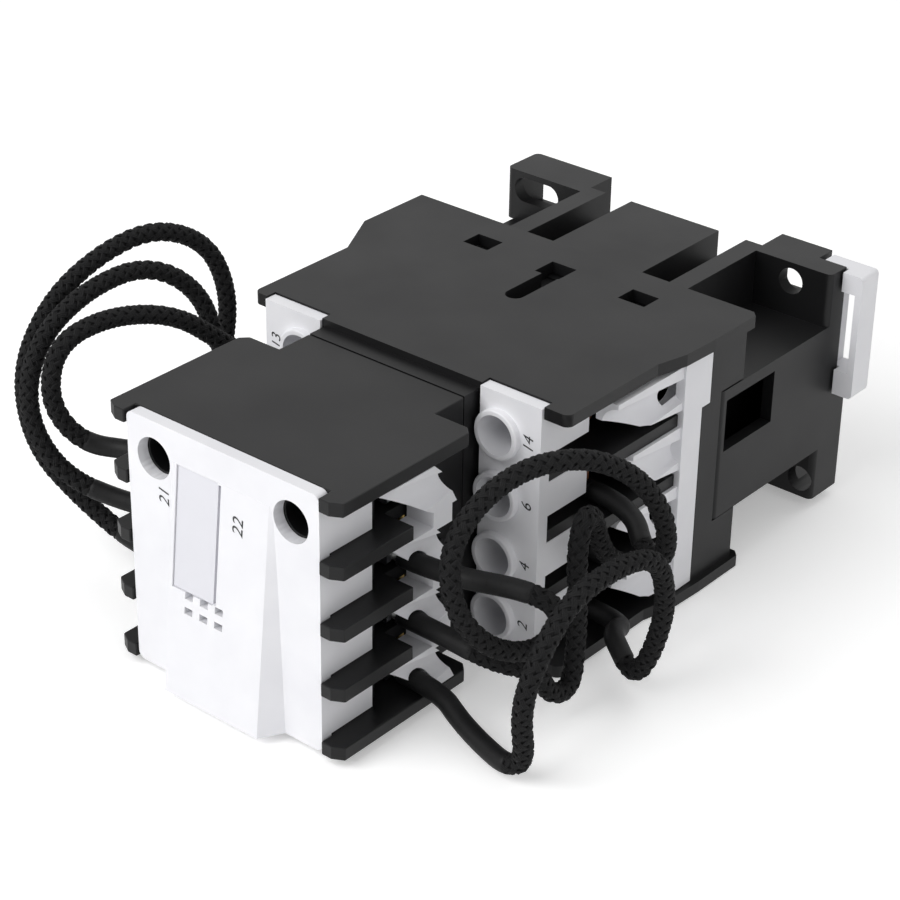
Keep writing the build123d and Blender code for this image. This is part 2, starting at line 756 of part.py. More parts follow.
# Terminal screw with a cross recess, its head at the clamp's front
head_r = 2.9
head_h = 2.2
with BuildPart() as terminal_screw:
    with BuildSketch(at(clamp_front)):
        with Locations((screw_x, 0)):
            Circle(head_r)
    extrude(amount=head_h)
    with BuildSketch(at(clamp_front + head_h)):
        with Locations((screw_x, 0)):
            Rectangle(4.2, 0.8)
            Rectangle(0.8, 4.2)
    extrude(amount=-1.0, mode=Mode.SUBTRACT)
    with BuildSketch(at(clamp_front)):
        with Locations((screw_x, 0)):
            Circle(1.6)
    extrude(amount=-(clamp_front - bar_rear + 3.0))

with BuildPart() as clamp:
    with BuildSketch(at(clamp_rear)):
        with Locations((screw_x, 0)):
            RectangleRounded(7.4, 2 * cell_half - 0.6, 0.8)
            Circle(1.75, mode=Mode.SUBTRACT)
    extrude(amount=clamp_t)

for side_name, mirrored in (("load", False), ("supply", True)):
    for piece, label in ((fixed_contact, "contacts"), (terminal_screw, "screws"), (clamp, "clamps")):
        copies = [Location((0, 0, z)) * piece.part for z in pole_zs]
        if mirrored:
            copies = [copy.mirror(Plane.YZ) for copy in copies]
        with BuildPart() as group:
            for copy in copies:
                add(copy)
        save(group.part, f"{side_name}_{label}")

# White front strips with raised screw tubes, and returns beside the wire entries
strip_front = housing_front + 0.4
return_rear = 65.0
strip_mid_x = (strip_in_x + strip_out_x) / 2
with BuildPart() as load_strip:
    with BuildSketch(at(housing_front - strip_t)):
        with Locations((strip_mid_x, 0)):
            Rectangle(strip_out_x - strip_in_x, 2 * (housing_half_z - 0.3))
    extrude(amount=strip_front - housing_front + strip_t)
    with BuildSketch(at(return_rear)):
        for z in pole_zs:
            with Locations((strip_out_x - 0.75, z + 1.2)):
                Rectangle(1.5, 2 * cell_half - 2.4 - 0.2)
    extrude(amount=housing_front - strip_t - return_rear)
    with BuildSketch(at(clamp_front + head_h + 0.6)):
        for z in pole_zs:
            with Locations((screw_x, z)):
                Circle(tube_bore + 0.5)
    extrude(amount=housing_front - clamp_front - head_h - 0.6)
    with BuildSketch(at(strip_front)):
        for z in pole_zs:
            with Locations((screw_x, z)):
                Circle(tube_r)
    extrude(amount=tube_rise)
    rims = load_strip.edges().filter_by(GeomType.CIRCLE).group_by(Axis.Y)[0]
    fillet(rims, 0.3)
    with BuildSketch(at(clamp_front)):
        for z in pole_zs:
            with Locations((screw_x, z)):
                Circle(tube_bore)
    extrude(amount=housing_front - clamp_front + 3, mode=Mode.SUBTRACT)
save(load_strip.part, "load_strip")
save(mirror(load_strip.part, about=Plane.YZ), "supply_strip")


# White wire guides of the contact section: a post across the cells, with a scoop toward the front
# in each of them that leads the wire under its clamp
guide_in_x = 28.0
guide_out_x = side_x - 0.1
guide_plate = 1.0
guide_half = cell_half - 0.1
guide_half_z = inner_half_z - 0.2
scoop_reach = (12.0, 11.5, 12.0, 16.5)
round_hole_depth = 48.8
round_hole_cells = (1, 3)
with BuildPart() as load_guide:
    with BuildSketch(at(post_rear + 0.1)):
        with Locations(((guide_in_x + guide_out_x) / 2, 0)):
            Rectangle(guide_out_x - guide_in_x, 2 * guide_half_z)
    extrude(amount=post_front - post_rear - 0.1)
    with BuildSketch(at(pad_rear)):
        with Locations(((pad_in_x + 0.1 + guide_out_x) / 2, (pad_low_z + 0.1 + guide_half_z) / 2)):
            Rectangle(guide_out_x - pad_in_x - 0.1, guide_half_z - pad_low_z - 0.1)
    extrude(amount=post_rear + 0.1 - pad_rear)
    for index, (z, reach) in enumerate(zip(pole_zs, scoop_reach)):
        with BuildSketch(Plane.YZ.offset(guide_in_x)):
            with BuildLine():
                Polyline(
                    (-post_front, z - guide_half + 0.7),
                    (-post_front - 0.58 * reach, z - guide_half + 1.6),
                    (-post_front - reach, z + 0.15 * guide_half),
                    (-post_front - reach, z + guide_half),
                    (-post_front, z + guide_half),
                    close=True,
                )
            make_face()
        extrude(amount=guide_out_x - guide_in_x - 0.4)
        # funnel: half a cone, open to the side, wide at its front mouth
        with BuildSketch(Plane(origin=(guide_out_x, -post_front, z), z_dir=(0, -1, 0))):
            Circle(0.5 * guide_half)
        with BuildSketch(Plane(origin=(guide_out_x, -post_front - reach - 0.5, z), z_dir=(0, -1, 0))):
            Circle(guide_out_x - guide_in_x - guide_plate)
        loft(mode=Mode.SUBTRACT)
        if index in round_hole_cells:
            with BuildSketch(Plane.YZ.offset(guide_in_x - 0.5)):
                with Locations((-round_hole_depth, z)):
                    Circle(0.76 * guide_half)
            extrude(amount=guide_plate + 2.2, mode=Mode.SUBTRACT)
save(load_guide.part, "load_guide")
save(mirror(load_guide.part, about=Plane.YZ), "supply_guide")

# Front block body: black moulding with plates at the top and bottom and three fins between the cells
neck_rear = block_rear
guide_x = block_half_x - 5.4
web_rear = 90.5
web_front = 94.7
fin_end = 99.0
slide_half_x = 4.2
block_wall_in = 8.6
block_wall_out = 10.0
cover_rear = cover_front - cover_t
fin_outline = [
    (block_wall_out - 0.1, -block_wing_rear),
    (block_half_x - 1.2, -block_wing_rear),
    (block_half_x, -block_wing_rear - 1.2),
    (block_half_x, -block_front + 1.0),
    (block_half_x - 1.8, -block_front),
    (cover_half_x + fit_gap, -block_front),
    (cover_half_x + fit_gap, -cover_rear + 0.1),
    (block_wall_out - 0.1, -cover_rear + 0.1),
]
with BuildPart() as block:
    # plates at the top and bottom, and the fins
    levels = [(-block_half_z, fin_t), (block_inner_z, fin_t)]
    levels += [(z - fin_t / 2, fin_t) for z in fin_zs]
    for z_low, thick in levels:
        for x_side in sides:
            with BuildSketch(Plane.XY.offset(z_low)):
                with BuildLine():
                    Polyline(*[(x_side * x, y) for x, y in fin_outline], close=True)
                make_face()
            extrude(amount=thick)
    # the fins' outer part ends where the white wire guides begin
    with BuildSketch(at(block_wing_rear)):
        for x_side in sides:
            with Locations((x_side * (guide_x + block_half_x) / 2, 0)):
                Rectangle(block_half_x - guide_x + 0.2, 2 * block_inner_z)
    extrude(amount=fin_end - block_wing_rear, mode=Mode.SUBTRACT)
    # centre box with the narrower neck toward the contact section
    with BuildSketch(at(block_wing_rear)):
        Rectangle(2 * block_wall_out, 2 * block_half_z)
    extrude(amount=cover_rear - 0.1 - block_wing_rear)
    with BuildSketch(at(neck_rear)):
        Rectangle(2 * block_neck_x, 2 * block_half_z)
    extrude(amount=block_wing_rear - neck_rear + 1.6)
    # closed fronts of the cells
    with BuildSketch(at(block_front - 13.7)):
        for x_side in sides:
            with Locations((x_side * (block_wall_out + cover_half_x - 1.7) / 2, 0)):
                Rectangle(cover_half_x - 1.7 - block_wall_out, 2 * block_inner_z)
    extrude(amount=cover_rear - 0.1 - block_front + 13.7)
    # chamber for the slide
    with BuildSketch(at(neck_rear + wall)):
        Rectangle(2 * block_wall_in, 2 * block_inner_z)
    extrude(amount=cover_rear - neck_rear, mode=Mode.SUBTRACT)
    with BuildSketch(at(neck_rear - 0.5)):
        RectangleRounded(2 * carrier_head_x + 3.4, 2 * carrier_head_z + 1.4, 1.0)
    extrude(amount=wall + 1, mode=Mode.SUBTRACT)
    # slots for the fixed contacts
    with BuildSketch(at(block_bar_rear - fit_gap)):
        for z in cell_zs:
            with Locations((0, z)):
                Rectangle(2 * block_wall_out + 0.6, 4.0 + 2 * fit_gap)
    extrude(amount=1.0 + 2 * fit_gap, mode=Mode.SUBTRACT)
    # screw ways of the top cell through its closed front
    with BuildSketch(at(block_front - 14.0)):
        with Locations((-block_screw_x, cell_zs[-1]), (block_screw_x, cell_zs[-1])):
            Circle(3.0)
    extrude(amount=15, mode=Mode.SUBTRACT)
save(block.part, "block_body")

# White cover of the block: plate with side tabs between the fins and a panel that leans forward
panel_top_z = 16.0
with BuildPart() as cover:
    with BuildSketch(at(cover_rear)):
        Rectangle(2 * cover_half_x, 2 * block_half_z)
    extrude(amount=cover_t)
    rim = cover.edges().filter_by(Axis.Y)
    fillet(rim, 1.2)
    with BuildSketch(at(tab_rear)):
        for z in cell_zs:
            for x_side in sides:
                with Locations((x_side * (cover_half_x - 0.8), z)):
                    Rectangle(1.6, fin_pitch - fin_t - 0.2)
    extrude(amount=cover_rear - tab_rear)
    # panel: a wedge with slanted flanks, flush near the top and proud at the bottom
    with BuildSketch(Plane.XY.offset(-block_half_z)):
        with BuildLine():
            Polyline(
                (-panel_half_x - 2.2, -cover_front + 0.2),
                (-panel_half_x, -cover_front - panel_rise),
                (panel_half_x, -cover_front - panel_rise),
                (panel_half_x + 2.2, -cover_front + 0.2),
                close=True,
            )
        make_face()
    with BuildSketch(Plane.XY.offset(panel_top_z)):
        with BuildLine():
            Polyline(
                (-panel_half_x - 1.0, -cover_front + 0.2),
                (-panel_half_x, -cover_front - 0.05),
                (panel_half_x, -cover_front - 0.05),
                (panel_half_x + 1.0, -cover_front + 0.2),
                close=True,
            )
        make_face()
    loft()
    # hollow behind the panel
    with BuildSketch(at(cover_rear)):
        with Locations((0, -12.0)):
            Rectangle(2 * panel_half_x - 4, 12.0)
    extrude(amount=cover_t + 0.4, mode=Mode.SUBTRACT)
    # recess of the label and the grid of six small holes
    panel_slope = panel_rise / (block_half_z + panel_top_z)
    label_z = 6.2
    label_plane = Plane(
        origin=(-4.6, -cover_front - 0.05 - panel_slope * (panel_top_z - label_z), label_z),
        x_dir=(1, 0, 0),
        z_dir=(0, -1, panel_slope),
    )
    with BuildSketch(label_plane):
        Rectangle(8.2, 19.6)
    extrude(amount=-0.8, mode=Mode.SUBTRACT)
    hole_plane = Plane(
        origin=(-2.2, -cover_front - panel_slope * (panel_top_z + 5.2), -5.2),
        x_dir=(1, 0, 0),
        z_dir=(0, -1, panel_slope),
    )
    with BuildSketch(hole_plane):
        with GridLocations(3.0, 2.4, 3, 2):
            Rectangle(1.6, 1.1)
    extrude(amount=-1.4, mode=Mode.SUBTRACT)
    # screw holes of the top cell
    with BuildSketch(at(cover_rear - 1)):
        with Locations((-block_screw_x, cell_zs[-1]), (block_screw_x, cell_zs[-1])):
            Circle(3.3)
    extrude(amount=cover_t + 3, mode=Mode.SUBTRACT)
save(cover.part, "block_cover")

with BuildPart() as label:
    with BuildSketch(label_plane.offset(-0.8)):
        Rectangle(8.0, 19.4)
    extrude(amount=0.5)
save(label.part, "label_plate")

# Slide of the block: follows the carrier, with a bridge for each cell
slide_rear = carrier_head_front + run_gap
slide_front = cover_rear - travel - 1.0
slide_body_rear = neck_rear + wall + travel + run_gap
block_bar_t = 1.0
block_tip_t = 0.6
block_bridge_rear = block_bar_rear + block_bar_t + 2 * block_tip_t + travel + 0.1
block_bridge_t = 0.8
block_window_front = block_bridge_rear + block_bridge_t + 4.0
with BuildPart() as slide:
    with BuildSketch(at(slide_body_rear)):
        Rectangle(2 * slide_half_x, 2 * (block_inner_z - 0.6))
    extrude(amount=slide_front - slide_body_rear)
    # foot with jaws at both sides of the carrier's head, narrow enough for the ways through both walls
    with BuildSketch(at(slide_rear)):
        Rectangle(2 * (jaw_x + jaw_t), 2 * jaw_half_z)
    extrude(amount=slide_body_rear + 1.4 - slide_rear)
    with BuildSketch(at(carrier_head_front - jaw_depth)):
        for x_side in sides:
            with Locations((x_side * (jaw_x + jaw_t / 2), 0)):
                Rectangle(jaw_t, 2 * jaw_half_z)
    extrude(amount=slide_rear - carrier_head_front + jaw_depth)
    with BuildSketch(at(block_bridge_rear - 0.9)):
        for z in cell_zs:
            with Locations((0, z)):
                Rectangle(2 * slide_half_x, 4.4)
    extrude(amount=block_window_front - block_bridge_rear + 0.9, mode=Mode.SUBTRACT)
save(slide.part, "block_slide")

with BuildPart() as block_bridge:
    with BuildSketch(at(block_bridge_rear)):
        RectangleRounded(2 * (block_contact_x + 1.3), 3.4, 0.8)
    extrude(amount=block_bridge_t)
    with BuildSketch(at(block_bridge_rear)):
        with Locations((-block_contact_x, 0), (block_contact_x, 0)):
            Circle(1.1)
    extrude(amount=-block_tip_t)
with BuildPart() as block_bridges:
    with Locations(*[(0, 0, z) for z in cell_zs]):
        add(block_bridge.part)
save(block_bridges.part, "block_bridges")

block_springs = []
for z in cell_zs:
    block_springs.append(
        coil_spring(
            Vector(0, -block_bridge_rear - block_bridge_t, z),
            Vector(0, -1, 0),
            block_window_front - block_bridge_rear - block_bridge_t,
            1.3,
            0.4,
            3,
        )
    )
save(Compound(children=block_springs), "block_springs")

with BuildPart() as block_contact:
    with BuildSketch(at(block_bar_rear)):
        with Locations(((slide_half_x + 1.0 + 16.0) / 2, 0)):
            RectangleRounded(16.0 - slide_half_x - 1.0, 4.0, 0.4)
        with Locations((block_screw_x, 0)):
            RectangleRounded(5.6, 7.0, 0.4)
        with Locations((block_screw_x, 0)):
            Circle(1.5, mode=Mode.SUBTRACT)
    extrude(amount=block_bar_t)
    with BuildSketch(at(block_bar_rear + block_bar_t)):
        with Locations((block_contact_x, 0)):
            Circle(1.1)
    extrude(amount=block_tip_t)

block_clamp_rear = block_bar_rear + block_bar_t + wire_d
with BuildPart() as block_screw:
    with BuildSketch(at(block_clamp_rear + 1.0)):
        with Locations((block_screw_x, 0)):
            Circle(2.6)
    extrude(amount=2.0)
    with BuildSketch(at(block_clamp_rear + 3.0)):
        with Locations((block_screw_x, 0)):
            Rectangle(3.8, 0.7)
            Rectangle(0.7, 3.8)
    extrude(amount=-0.9, mode=Mode.SUBTRACT)
    with BuildSketch(at(block_clamp_rear + 1.0)):
        with Locations((block_screw_x, 0)):
            Circle(1.35)
    extrude(amount=-(block_clamp_rear + 1.0 - block_bar_rear + 2.0))

with BuildPart() as block_clamp:
    with BuildSketch(at(block_clamp_rear)):
        with Locations((block_screw_x, 0)):
            RectangleRounded(6.0, 7.0, 0.6)
            Circle(1.5, mode=Mode.SUBTRACT)
    extrude(amount=1.0)

for side_name, mirrored in (("load", False), ("supply", True)):
    for piece, label_end in (
        (block_contact, "contacts"),
        (block_screw, "screws"),
        (block_clamp, "clamps"),
    ):
        copies = [Location((0, 0, z)) * piece.part for z in cell_zs]
        if mirrored:
            copies = [copy.mirror(Plane.YZ) for copy in copies]
        with BuildPart() as group:
            for copy in copies:
                add(copy)
        save(group.part, f"block_{side_name}_{label_end}")

# White wire guides of the block: a scoop in each cell, tied by short webs across the fins
block_wire_depth = block_bar_rear + block_bar_t + wire_d / 2
block_guide_half = (fin_pitch - fin_t) / 2 - 0.1
block_guide_out = block_half_x - 0.1
scoop_rear = 89.6
scoop_low_front = 94.5
scoop_tips = (101.5, 100.3, 100.3, tab_rear - 0.3)
with BuildPart() as block_guide:
    for index, (z, tip) in enumerate(zip(cell_zs, scoop_tips)):
        with BuildSketch(Plane.YZ.offset(guide_x + 0.2)):
            with BuildLine():
                Polyline(
                    (-scoop_rear, z - block_guide_half),
                    (-scoop_low_front, z - block_guide_half),
                    (-tip, z + 0.35 * block_guide_half),
                    (-tip, z + block_guide_half),
                    (-scoop_rear - 5.0, z + block_guide_half),
                    (-scoop_rear - 3.0, z + 0.5 * block_guide_half),
                    close=True,
                )
            make_face()
        extrude(amount=block_guide_out - guide_x - 0.2)
        with BuildSketch(Plane(origin=(block_guide_out + 0.4, -scoop_rear + 1.0, z), z_dir=(0, -1, 0))):
            Circle(1.6)
        with BuildSketch(Plane(origin=(block_guide_out + 0.4, -tip - 0.5, z), z_dir=(0, -1, 0))):
            Circle(block_guide_half)
        loft(mode=Mode.SUBTRACT)
    with BuildSketch(at(web_rear + 0.1)):
        for z in fin_zs:
            with Locations(((guide_x + 0.2 + block_guide_out) / 2, z)):
                Rectangle(block_guide_out - guide_x - 0.2, fin_t + 1.4)
    extrude(amount=web_front - web_rear - 0.2)
    # ways out for the leads
    with BuildSketch(Plane.YZ.offset(guide_x)):
        for z in cell_zs[:-1]:
            with Locations((-block_wire_depth, z - block_lead_shift)):
                Circle(lead_d / 2 + 0.45)
    extrude(amount=block_half_x - guide_x + 1, mode=Mode.SUBTRACT)
save(block_guide.part, "block_load_guide")
save(mirror(block_guide.part, about=Plane.YZ), "block_supply_guide")

# Damping leads: three on each side, from the block's clamps to the poles' clamps
ferrule_len = 7.5
block_end_x = 17.5
pole_end_x = 25.5


def lead_path(side, index, between):
    """Points of one lead: both ends straight out of their clamps, with the free loop between them."""
    z_block = cell_zs[index] - block_lead_shift
    z_pole = pole_zs[index] - lead_shift
    points = [(block_end_x, block_wire_depth, z_block), (block_end_x + 7.5, block_wire_depth, z_block)]
    points += between
    points += [(pole_end_x + 8.5, wire_depth, z_pole), (pole_end_x, wire_depth, z_pole)]
    return [Vector(side * x, -depth, z) for x, depth, z in points]


def bend_radii(points):
    """Largest even radius at each corner: the arcs take 45 % of the shorter run."""
    radii = []
    for before, corner, after in zip(points[:-2], points[1:-1], points[2:]):
        run = min((corner - before).length, (after - corner).length)
        half_turn = radians((corner - before).get_angle(after - corner)) / 2
        radii.append(0.45 * run / tan(half_turn))
    return radii


# free loops, seen in the photo's view and set clear of the housing and of each other
free_loops = {
    "load_lead_1": (1, 0, [
        (35, 98.5, -19.5), (41.5, 100.5, -20.9), (44, 99, -19.6), (44.5, 99.5, -10), (45.5, 100, -0.5),
        (46.5, 94, 7), (47, 84, 9), (48, 75, 6.5), (47.5, 71.5, -3), (45.5, 70.5, -12), (43.5, 71, -19),
        (39, 72, -18.8), (35.5, 68, -17),
    ]),
    "load_lead_2": (1, 1, [
        (33.5, 94, -9.5), (37, 88.5, -12.5), (38, 86.5, -18), (38.3, 82, -19.3), (38, 80.5, -12.5),
        (37.5, 80, -3), (37, 80, 4), (36.5, 78, 8.8), (35, 73.5, 6.5), (34.5, 71, 0), (34.5, 67, -5),
    ]),
    "load_lead_3": (1, 2, [
        (38.5, 90.5, 2.8), (41, 87.5, -2), (38, 90, -8), (35, 98, -4.5), (32, 102.5, 4), (31, 101, 14),
        (33.5, 92, 21.5), (38, 81.5, 22), (42, 73, 16), (44, 68, 7), (43, 66, -1.5), (39, 66, -2),
    ]),
    "supply_lead_1": (-1, 0, [
        (36, 98.5, -15.5), (46.5, 99.5, -11), (53.5, 102.5, -3), (56.5, 102, 9), (57.5, 94.5, 18),
        (57, 84, 23), (55.5, 72.5, 24.5), (52.5, 63.5, 19.5), (50, 61.5, 10), (48.5, 65, 1), (44.5, 68, -8),
        (38, 67, -15.5),
    ]),
    "supply_lead_2": (-1, 1, [
        (36.5, 98.5, -8.5), (45.5, 104.5, -4), (50.5, 106.5, 6), (52, 102, 16), (51.5, 91.5, 21.5),
        (49.5, 80, 22.5), (46, 72, 16), (43, 71.5, 6), (37.5, 67.5, -3.5),
    ]),
    "supply_lead_3": (-1, 2, [
        (36.5, 97, 0.5), (43, 102, 1.5), (45.5, 106, 9.5), (45.5, 103.5, 18.5), (43.5, 94, 20.5),
        (40, 83.5, 18), (37.5, 76, 11), (35.5, 68.5, 5),
    ]),
}
for name, (side, index, between) in free_loops.items():
    points = lead_path(side, index, between)
    radii = bend_radii(points)
    with BuildPart() as lead:
        with BuildLine() as path:
            FilletPolyline(*points, radius=radii)
        with BuildSketch(Plane(origin=path.line @ 0, z_dir=path.line % 0)):
            Circle(lead_d / 2)
        sweep()
    length = path.wires()[0].length
    volume_share = lead.part.volume / (length * pi * lead_d**2 / 4)
    turns = [round(r, 1) for r in radii]
    print(f"{name}: {length:.0f} mm, volume over section times length {volume_share:.3f}, radii {turns}")
    save(lead.part, name)

# Ferrules on the leads' ends, gripped by the clamps
with BuildPart() as ferrules:
    for side in sides:
        for index in range(pole_count - 1):
            for x_end, depth, z in (
                (block_end_x, block_wire_depth, cell_zs[index] - block_lead_shift),
                (pole_end_x, wire_depth, pole_zs[index] - lead_shift),
            ):
                with BuildSketch(Plane(origin=(side * x_end, -depth, z), z_dir=(-side, 0, 0))):
                    Circle(wire_d / 2)
                extrude(amount=ferrule_len)
save(ferrules.part, "lead_ferrules")
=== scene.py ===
from math import cos, pi, radians, sin

import bpy
from mathutils import Matrix, Vector
from mathutils.bvhtree import BVHTree


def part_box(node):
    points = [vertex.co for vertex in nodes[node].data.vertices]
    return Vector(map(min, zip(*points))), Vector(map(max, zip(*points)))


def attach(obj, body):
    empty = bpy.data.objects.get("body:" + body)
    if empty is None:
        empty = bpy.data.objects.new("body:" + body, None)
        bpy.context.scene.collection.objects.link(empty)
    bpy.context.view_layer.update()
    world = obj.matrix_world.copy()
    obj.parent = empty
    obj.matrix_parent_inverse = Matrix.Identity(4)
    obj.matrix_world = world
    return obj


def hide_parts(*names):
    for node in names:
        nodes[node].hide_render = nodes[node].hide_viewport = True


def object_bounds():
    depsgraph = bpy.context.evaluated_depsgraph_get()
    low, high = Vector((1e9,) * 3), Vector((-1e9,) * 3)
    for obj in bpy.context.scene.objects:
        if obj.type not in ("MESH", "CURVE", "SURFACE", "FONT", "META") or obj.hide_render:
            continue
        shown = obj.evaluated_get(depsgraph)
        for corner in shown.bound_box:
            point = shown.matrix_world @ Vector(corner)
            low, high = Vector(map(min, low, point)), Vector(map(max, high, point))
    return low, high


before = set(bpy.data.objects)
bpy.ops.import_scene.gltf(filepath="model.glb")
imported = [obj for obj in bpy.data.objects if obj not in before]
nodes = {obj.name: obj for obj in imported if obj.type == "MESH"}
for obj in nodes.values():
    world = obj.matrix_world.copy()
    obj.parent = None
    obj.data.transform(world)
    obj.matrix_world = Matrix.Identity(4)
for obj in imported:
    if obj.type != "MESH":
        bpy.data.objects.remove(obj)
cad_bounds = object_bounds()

# Camera. It stands where the photo was taken: right of the front and above, with a long lens.
# Sizes here and below are in millimetres until MM makes them metres.
MM = 0.001
AZIMUTH = radians(39.57)
ELEVATION = radians(29.34)
ROLL = radians(0.91)
DISTANCE = 389.0
LENS = 101.7
SENSOR = 36.0
NEAREST_SEEN = 10
AIM = Vector((0, -76.1, 0))
SLIDE_RIGHT = 7.73
SLIDE_UP = 4.65
back = Vector((sin(AZIMUTH) * cos(ELEVATION), -cos(AZIMUTH) * cos(ELEVATION), sin(ELEVATION)))
level = Vector((cos(AZIMUTH), sin(AZIMUTH), 0))
upright = back.cross(level)
right = level * cos(ROLL) + upright * sin(ROLL)
up = upright * cos(ROLL) - level * sin(ROLL)
camera_data = bpy.data.cameras.new("camera")
camera_data.lens = LENS
camera_data.sensor_width = SENSOR
camera_data.clip_start = NEAREST_SEEN * MM
camera = bpy.data.objects.new("camera", camera_data)
bpy.context.scene.collection.objects.link(camera)
place = (AIM + back * DISTANCE + right * SLIDE_RIGHT + up * SLIDE_UP) * MM
turn = Matrix((right, up, back)).transposed().to_4x4()
camera.matrix_world = Matrix.Translation(place) @ turn
bpy.context.scene.camera = camera

# Floor. A wide sheet of seamless white paper under the side that the object lies on: matt, with a
# faint glow of its own that only the camera and reflections see, so that it stays pale.
FLOOR_GAP = 0.2
FLOOR_REACH = 6000
PAPER_WHITE = 0.97
PAPER_ROUGHNESS = 0.9
PAPER_GLOW = 0.3
floor_z = cad_bounds[0].z - FLOOR_GAP * MM
reach = FLOOR_REACH * MM
corners = [(-reach, -reach), (reach, -reach), (reach, reach), (-reach, reach)]
floor_mesh = bpy.data.meshes.new("floor")
floor_mesh.from_pydata([(x, y, floor_z) for x, y in corners], [], [(0, 1, 2, 3)])
floor = bpy.data.objects.new("floor", floor_mesh)
bpy.context.scene.collection.objects.link(floor)


def feed(tree, node, inputs):
    """Set a node's sockets, or link them to the socket or to the first output of the node given."""
    for key, value in inputs.items():
        if isinstance(value, bpy.types.Node):
            value = value.outputs[0]
        if isinstance(value, bpy.types.NodeSocket):
            tree.links.new(value, node.inputs[key])
        else:
            node.inputs[key].default_value = value


def add(tree, kind, inputs, **settings):
    """Add a node with its settings and links."""
    node = tree.nodes.new(kind)
    for key, value in settings.items():
        setattr(node, key, value)
    feed(tree, node, inputs)
    return node


MATH = "ShaderNodeMath"


def seen_directly(tree):
    """Node that gives 1 for camera, glossy and transmission rays, and 0 for the rays that light things."""
    rays = add(tree, "ShaderNodeLightPath", {}).outputs
    first_two = {0: rays["Is Camera Ray"], 1: rays["Is Glossy Ray"]}
    either = add(tree, MATH, first_two, operation="MAXIMUM")
    return add(tree, MATH, {0: either, 1: rays["Is Transmission Ray"]}, operation="MAXIMUM")


seamless = bpy.data.materials.new("seamless paper")
seamless.use_nodes = True
tree = seamless.node_tree
glow = add(tree, MATH, {0: seen_directly(tree), 1: PAPER_GLOW}, operation="MULTIPLY")
paper = {
    "Base Color": (PAPER_WHITE, PAPER_WHITE, PAPER_WHITE, 1),
    "Roughness": PAPER_ROUGHNESS,
    "Emission Color": (1, 1, 1, 1),
    "Emission Strength": glow,
}
feed(tree, tree.nodes["Principled BSDF"], paper)
floor.data.materials.append(seamless)

# Light. A broad soft key from the upper left, a weak fill from the right and a rim from behind, in a
# white surround that lights the object less than it shows. These sizes are in metres.
LIGHTS_AIM = Vector((0, -0.06, 0))
SURROUND_LIT = 0.35
SURROUND_SEEN = 1.0


def area_light(name, azimuth, elevation, distance, size, power):
    """Square soft lamp that looks at the object's middle from that direction."""
    turned, raised = radians(azimuth), radians(elevation)
    way = Vector((sin(turned) * cos(raised), -cos(turned) * cos(raised), sin(raised)))
    data = bpy.data.lights.new(name, "AREA")
    data.shape = "SQUARE"
    data.size = size
    data.energy = power
    lamp = bpy.data.objects.new(name, data)
    bpy.context.scene.collection.objects.link(lamp)
    lamp.location = LIGHTS_AIM + way * distance
    lamp.rotation_euler = way.to_track_quat("Z", "Y").to_euler()


area_light("key", azimuth=-20, elevation=40, distance=0.9, size=0.7, power=5.8)
area_light("fill", azimuth=75, elevation=30, distance=1.0, size=0.8, power=1.6)
area_light("rim", azimuth=170, elevation=50, distance=1.0, size=0.6, power=1.2)
world = bpy.data.worlds.new("surround")
world.use_nodes = True
tree = world.node_tree
shares = {"Value": seen_directly(tree), "To Min": SURROUND_LIT, "To Max": SURROUND_SEEN}
strength = add(tree, "ShaderNodeMapRange", shares)
feed(tree, tree.nodes["Background"], {"Color": (1, 1, 1, 1), "Strength": strength})
bpy.context.scene.world = world
bpy.context.scene.view_settings.view_transform = "Standard"


# Base housing. The rear half of the case, with the ears, the rail channel and the coil chamber: black
# glass-filled nylon, injection moulded in one piece. The contact housing is fixed to its front.
def linear(hex_code):
    """Linear colour of an sRGB hex code."""
    channels = [int(hex_code[i : i + 2], 16) / 255 for i in (1, 3, 5)]
    return tuple(c / 12.92 if c <= 0.04045 else ((c + 0.055) / 1.055) ** 2.4 for c in channels) + (1.0,)


def surface(
    name, colours, roughness, patch, grain, depth, stretch=(1, 1, 1), metallic=0.0, specular=0.5, coat=0.0
):
    """Material whose colour and gloss wander over patches of that size, under a fine raised grain."""
    material = bpy.data.materials.new(name)
    material.use_nodes = True
    tree = material.node_tree
    where = add(tree, "ShaderNodeTexCoord", {}).outputs["Object"]
    laid = add(tree, "ShaderNodeMapping", {"Vector": where, "Scale": stretch})
    wander = add(tree, "ShaderNodeTexNoise", {"Vector": laid, "Scale": 1 / (patch * MM), "Detail": 3.0})
    part = {"Value": wander.outputs["Fac"], "From Min": 0.3, "From Max": 0.7}
    share = add(tree, "ShaderNodeMapRange", part)
    pair = {"Factor": share, 6: linear(colours[0]), 7: linear(colours[1])}
    colour = add(tree, "ShaderNodeMix", pair, data_type="RGBA").outputs[2]
    gloss = {"Value": share, "To Min": roughness[0], "To Max": roughness[1]}
    rough = add(tree, "ShaderNodeMapRange", gloss)
    fine = add(tree, "ShaderNodeTexNoise", {"Vector": laid, "Scale": 1 / (grain * MM), "Detail": 2.0})
    relief = add(tree, "ShaderNodeBump", {"Height": fine.outputs["Fac"], "Distance": depth * MM})
    looks = {
        "Base Color": colour,
        "Roughness": rough,
        "Normal": relief,
        "Metallic": metallic,
        "Specular IOR Level": specular,
        "Coat Weight": coat,
    }
    feed(tree, tree.nodes["Principled BSDF"], looks)
    return material


WELD_GAP = 0.001
EDGE_SEGMENTS = 2
SHARP_FROM = radians(35)
FACE_AREA_WEIGHT = 60


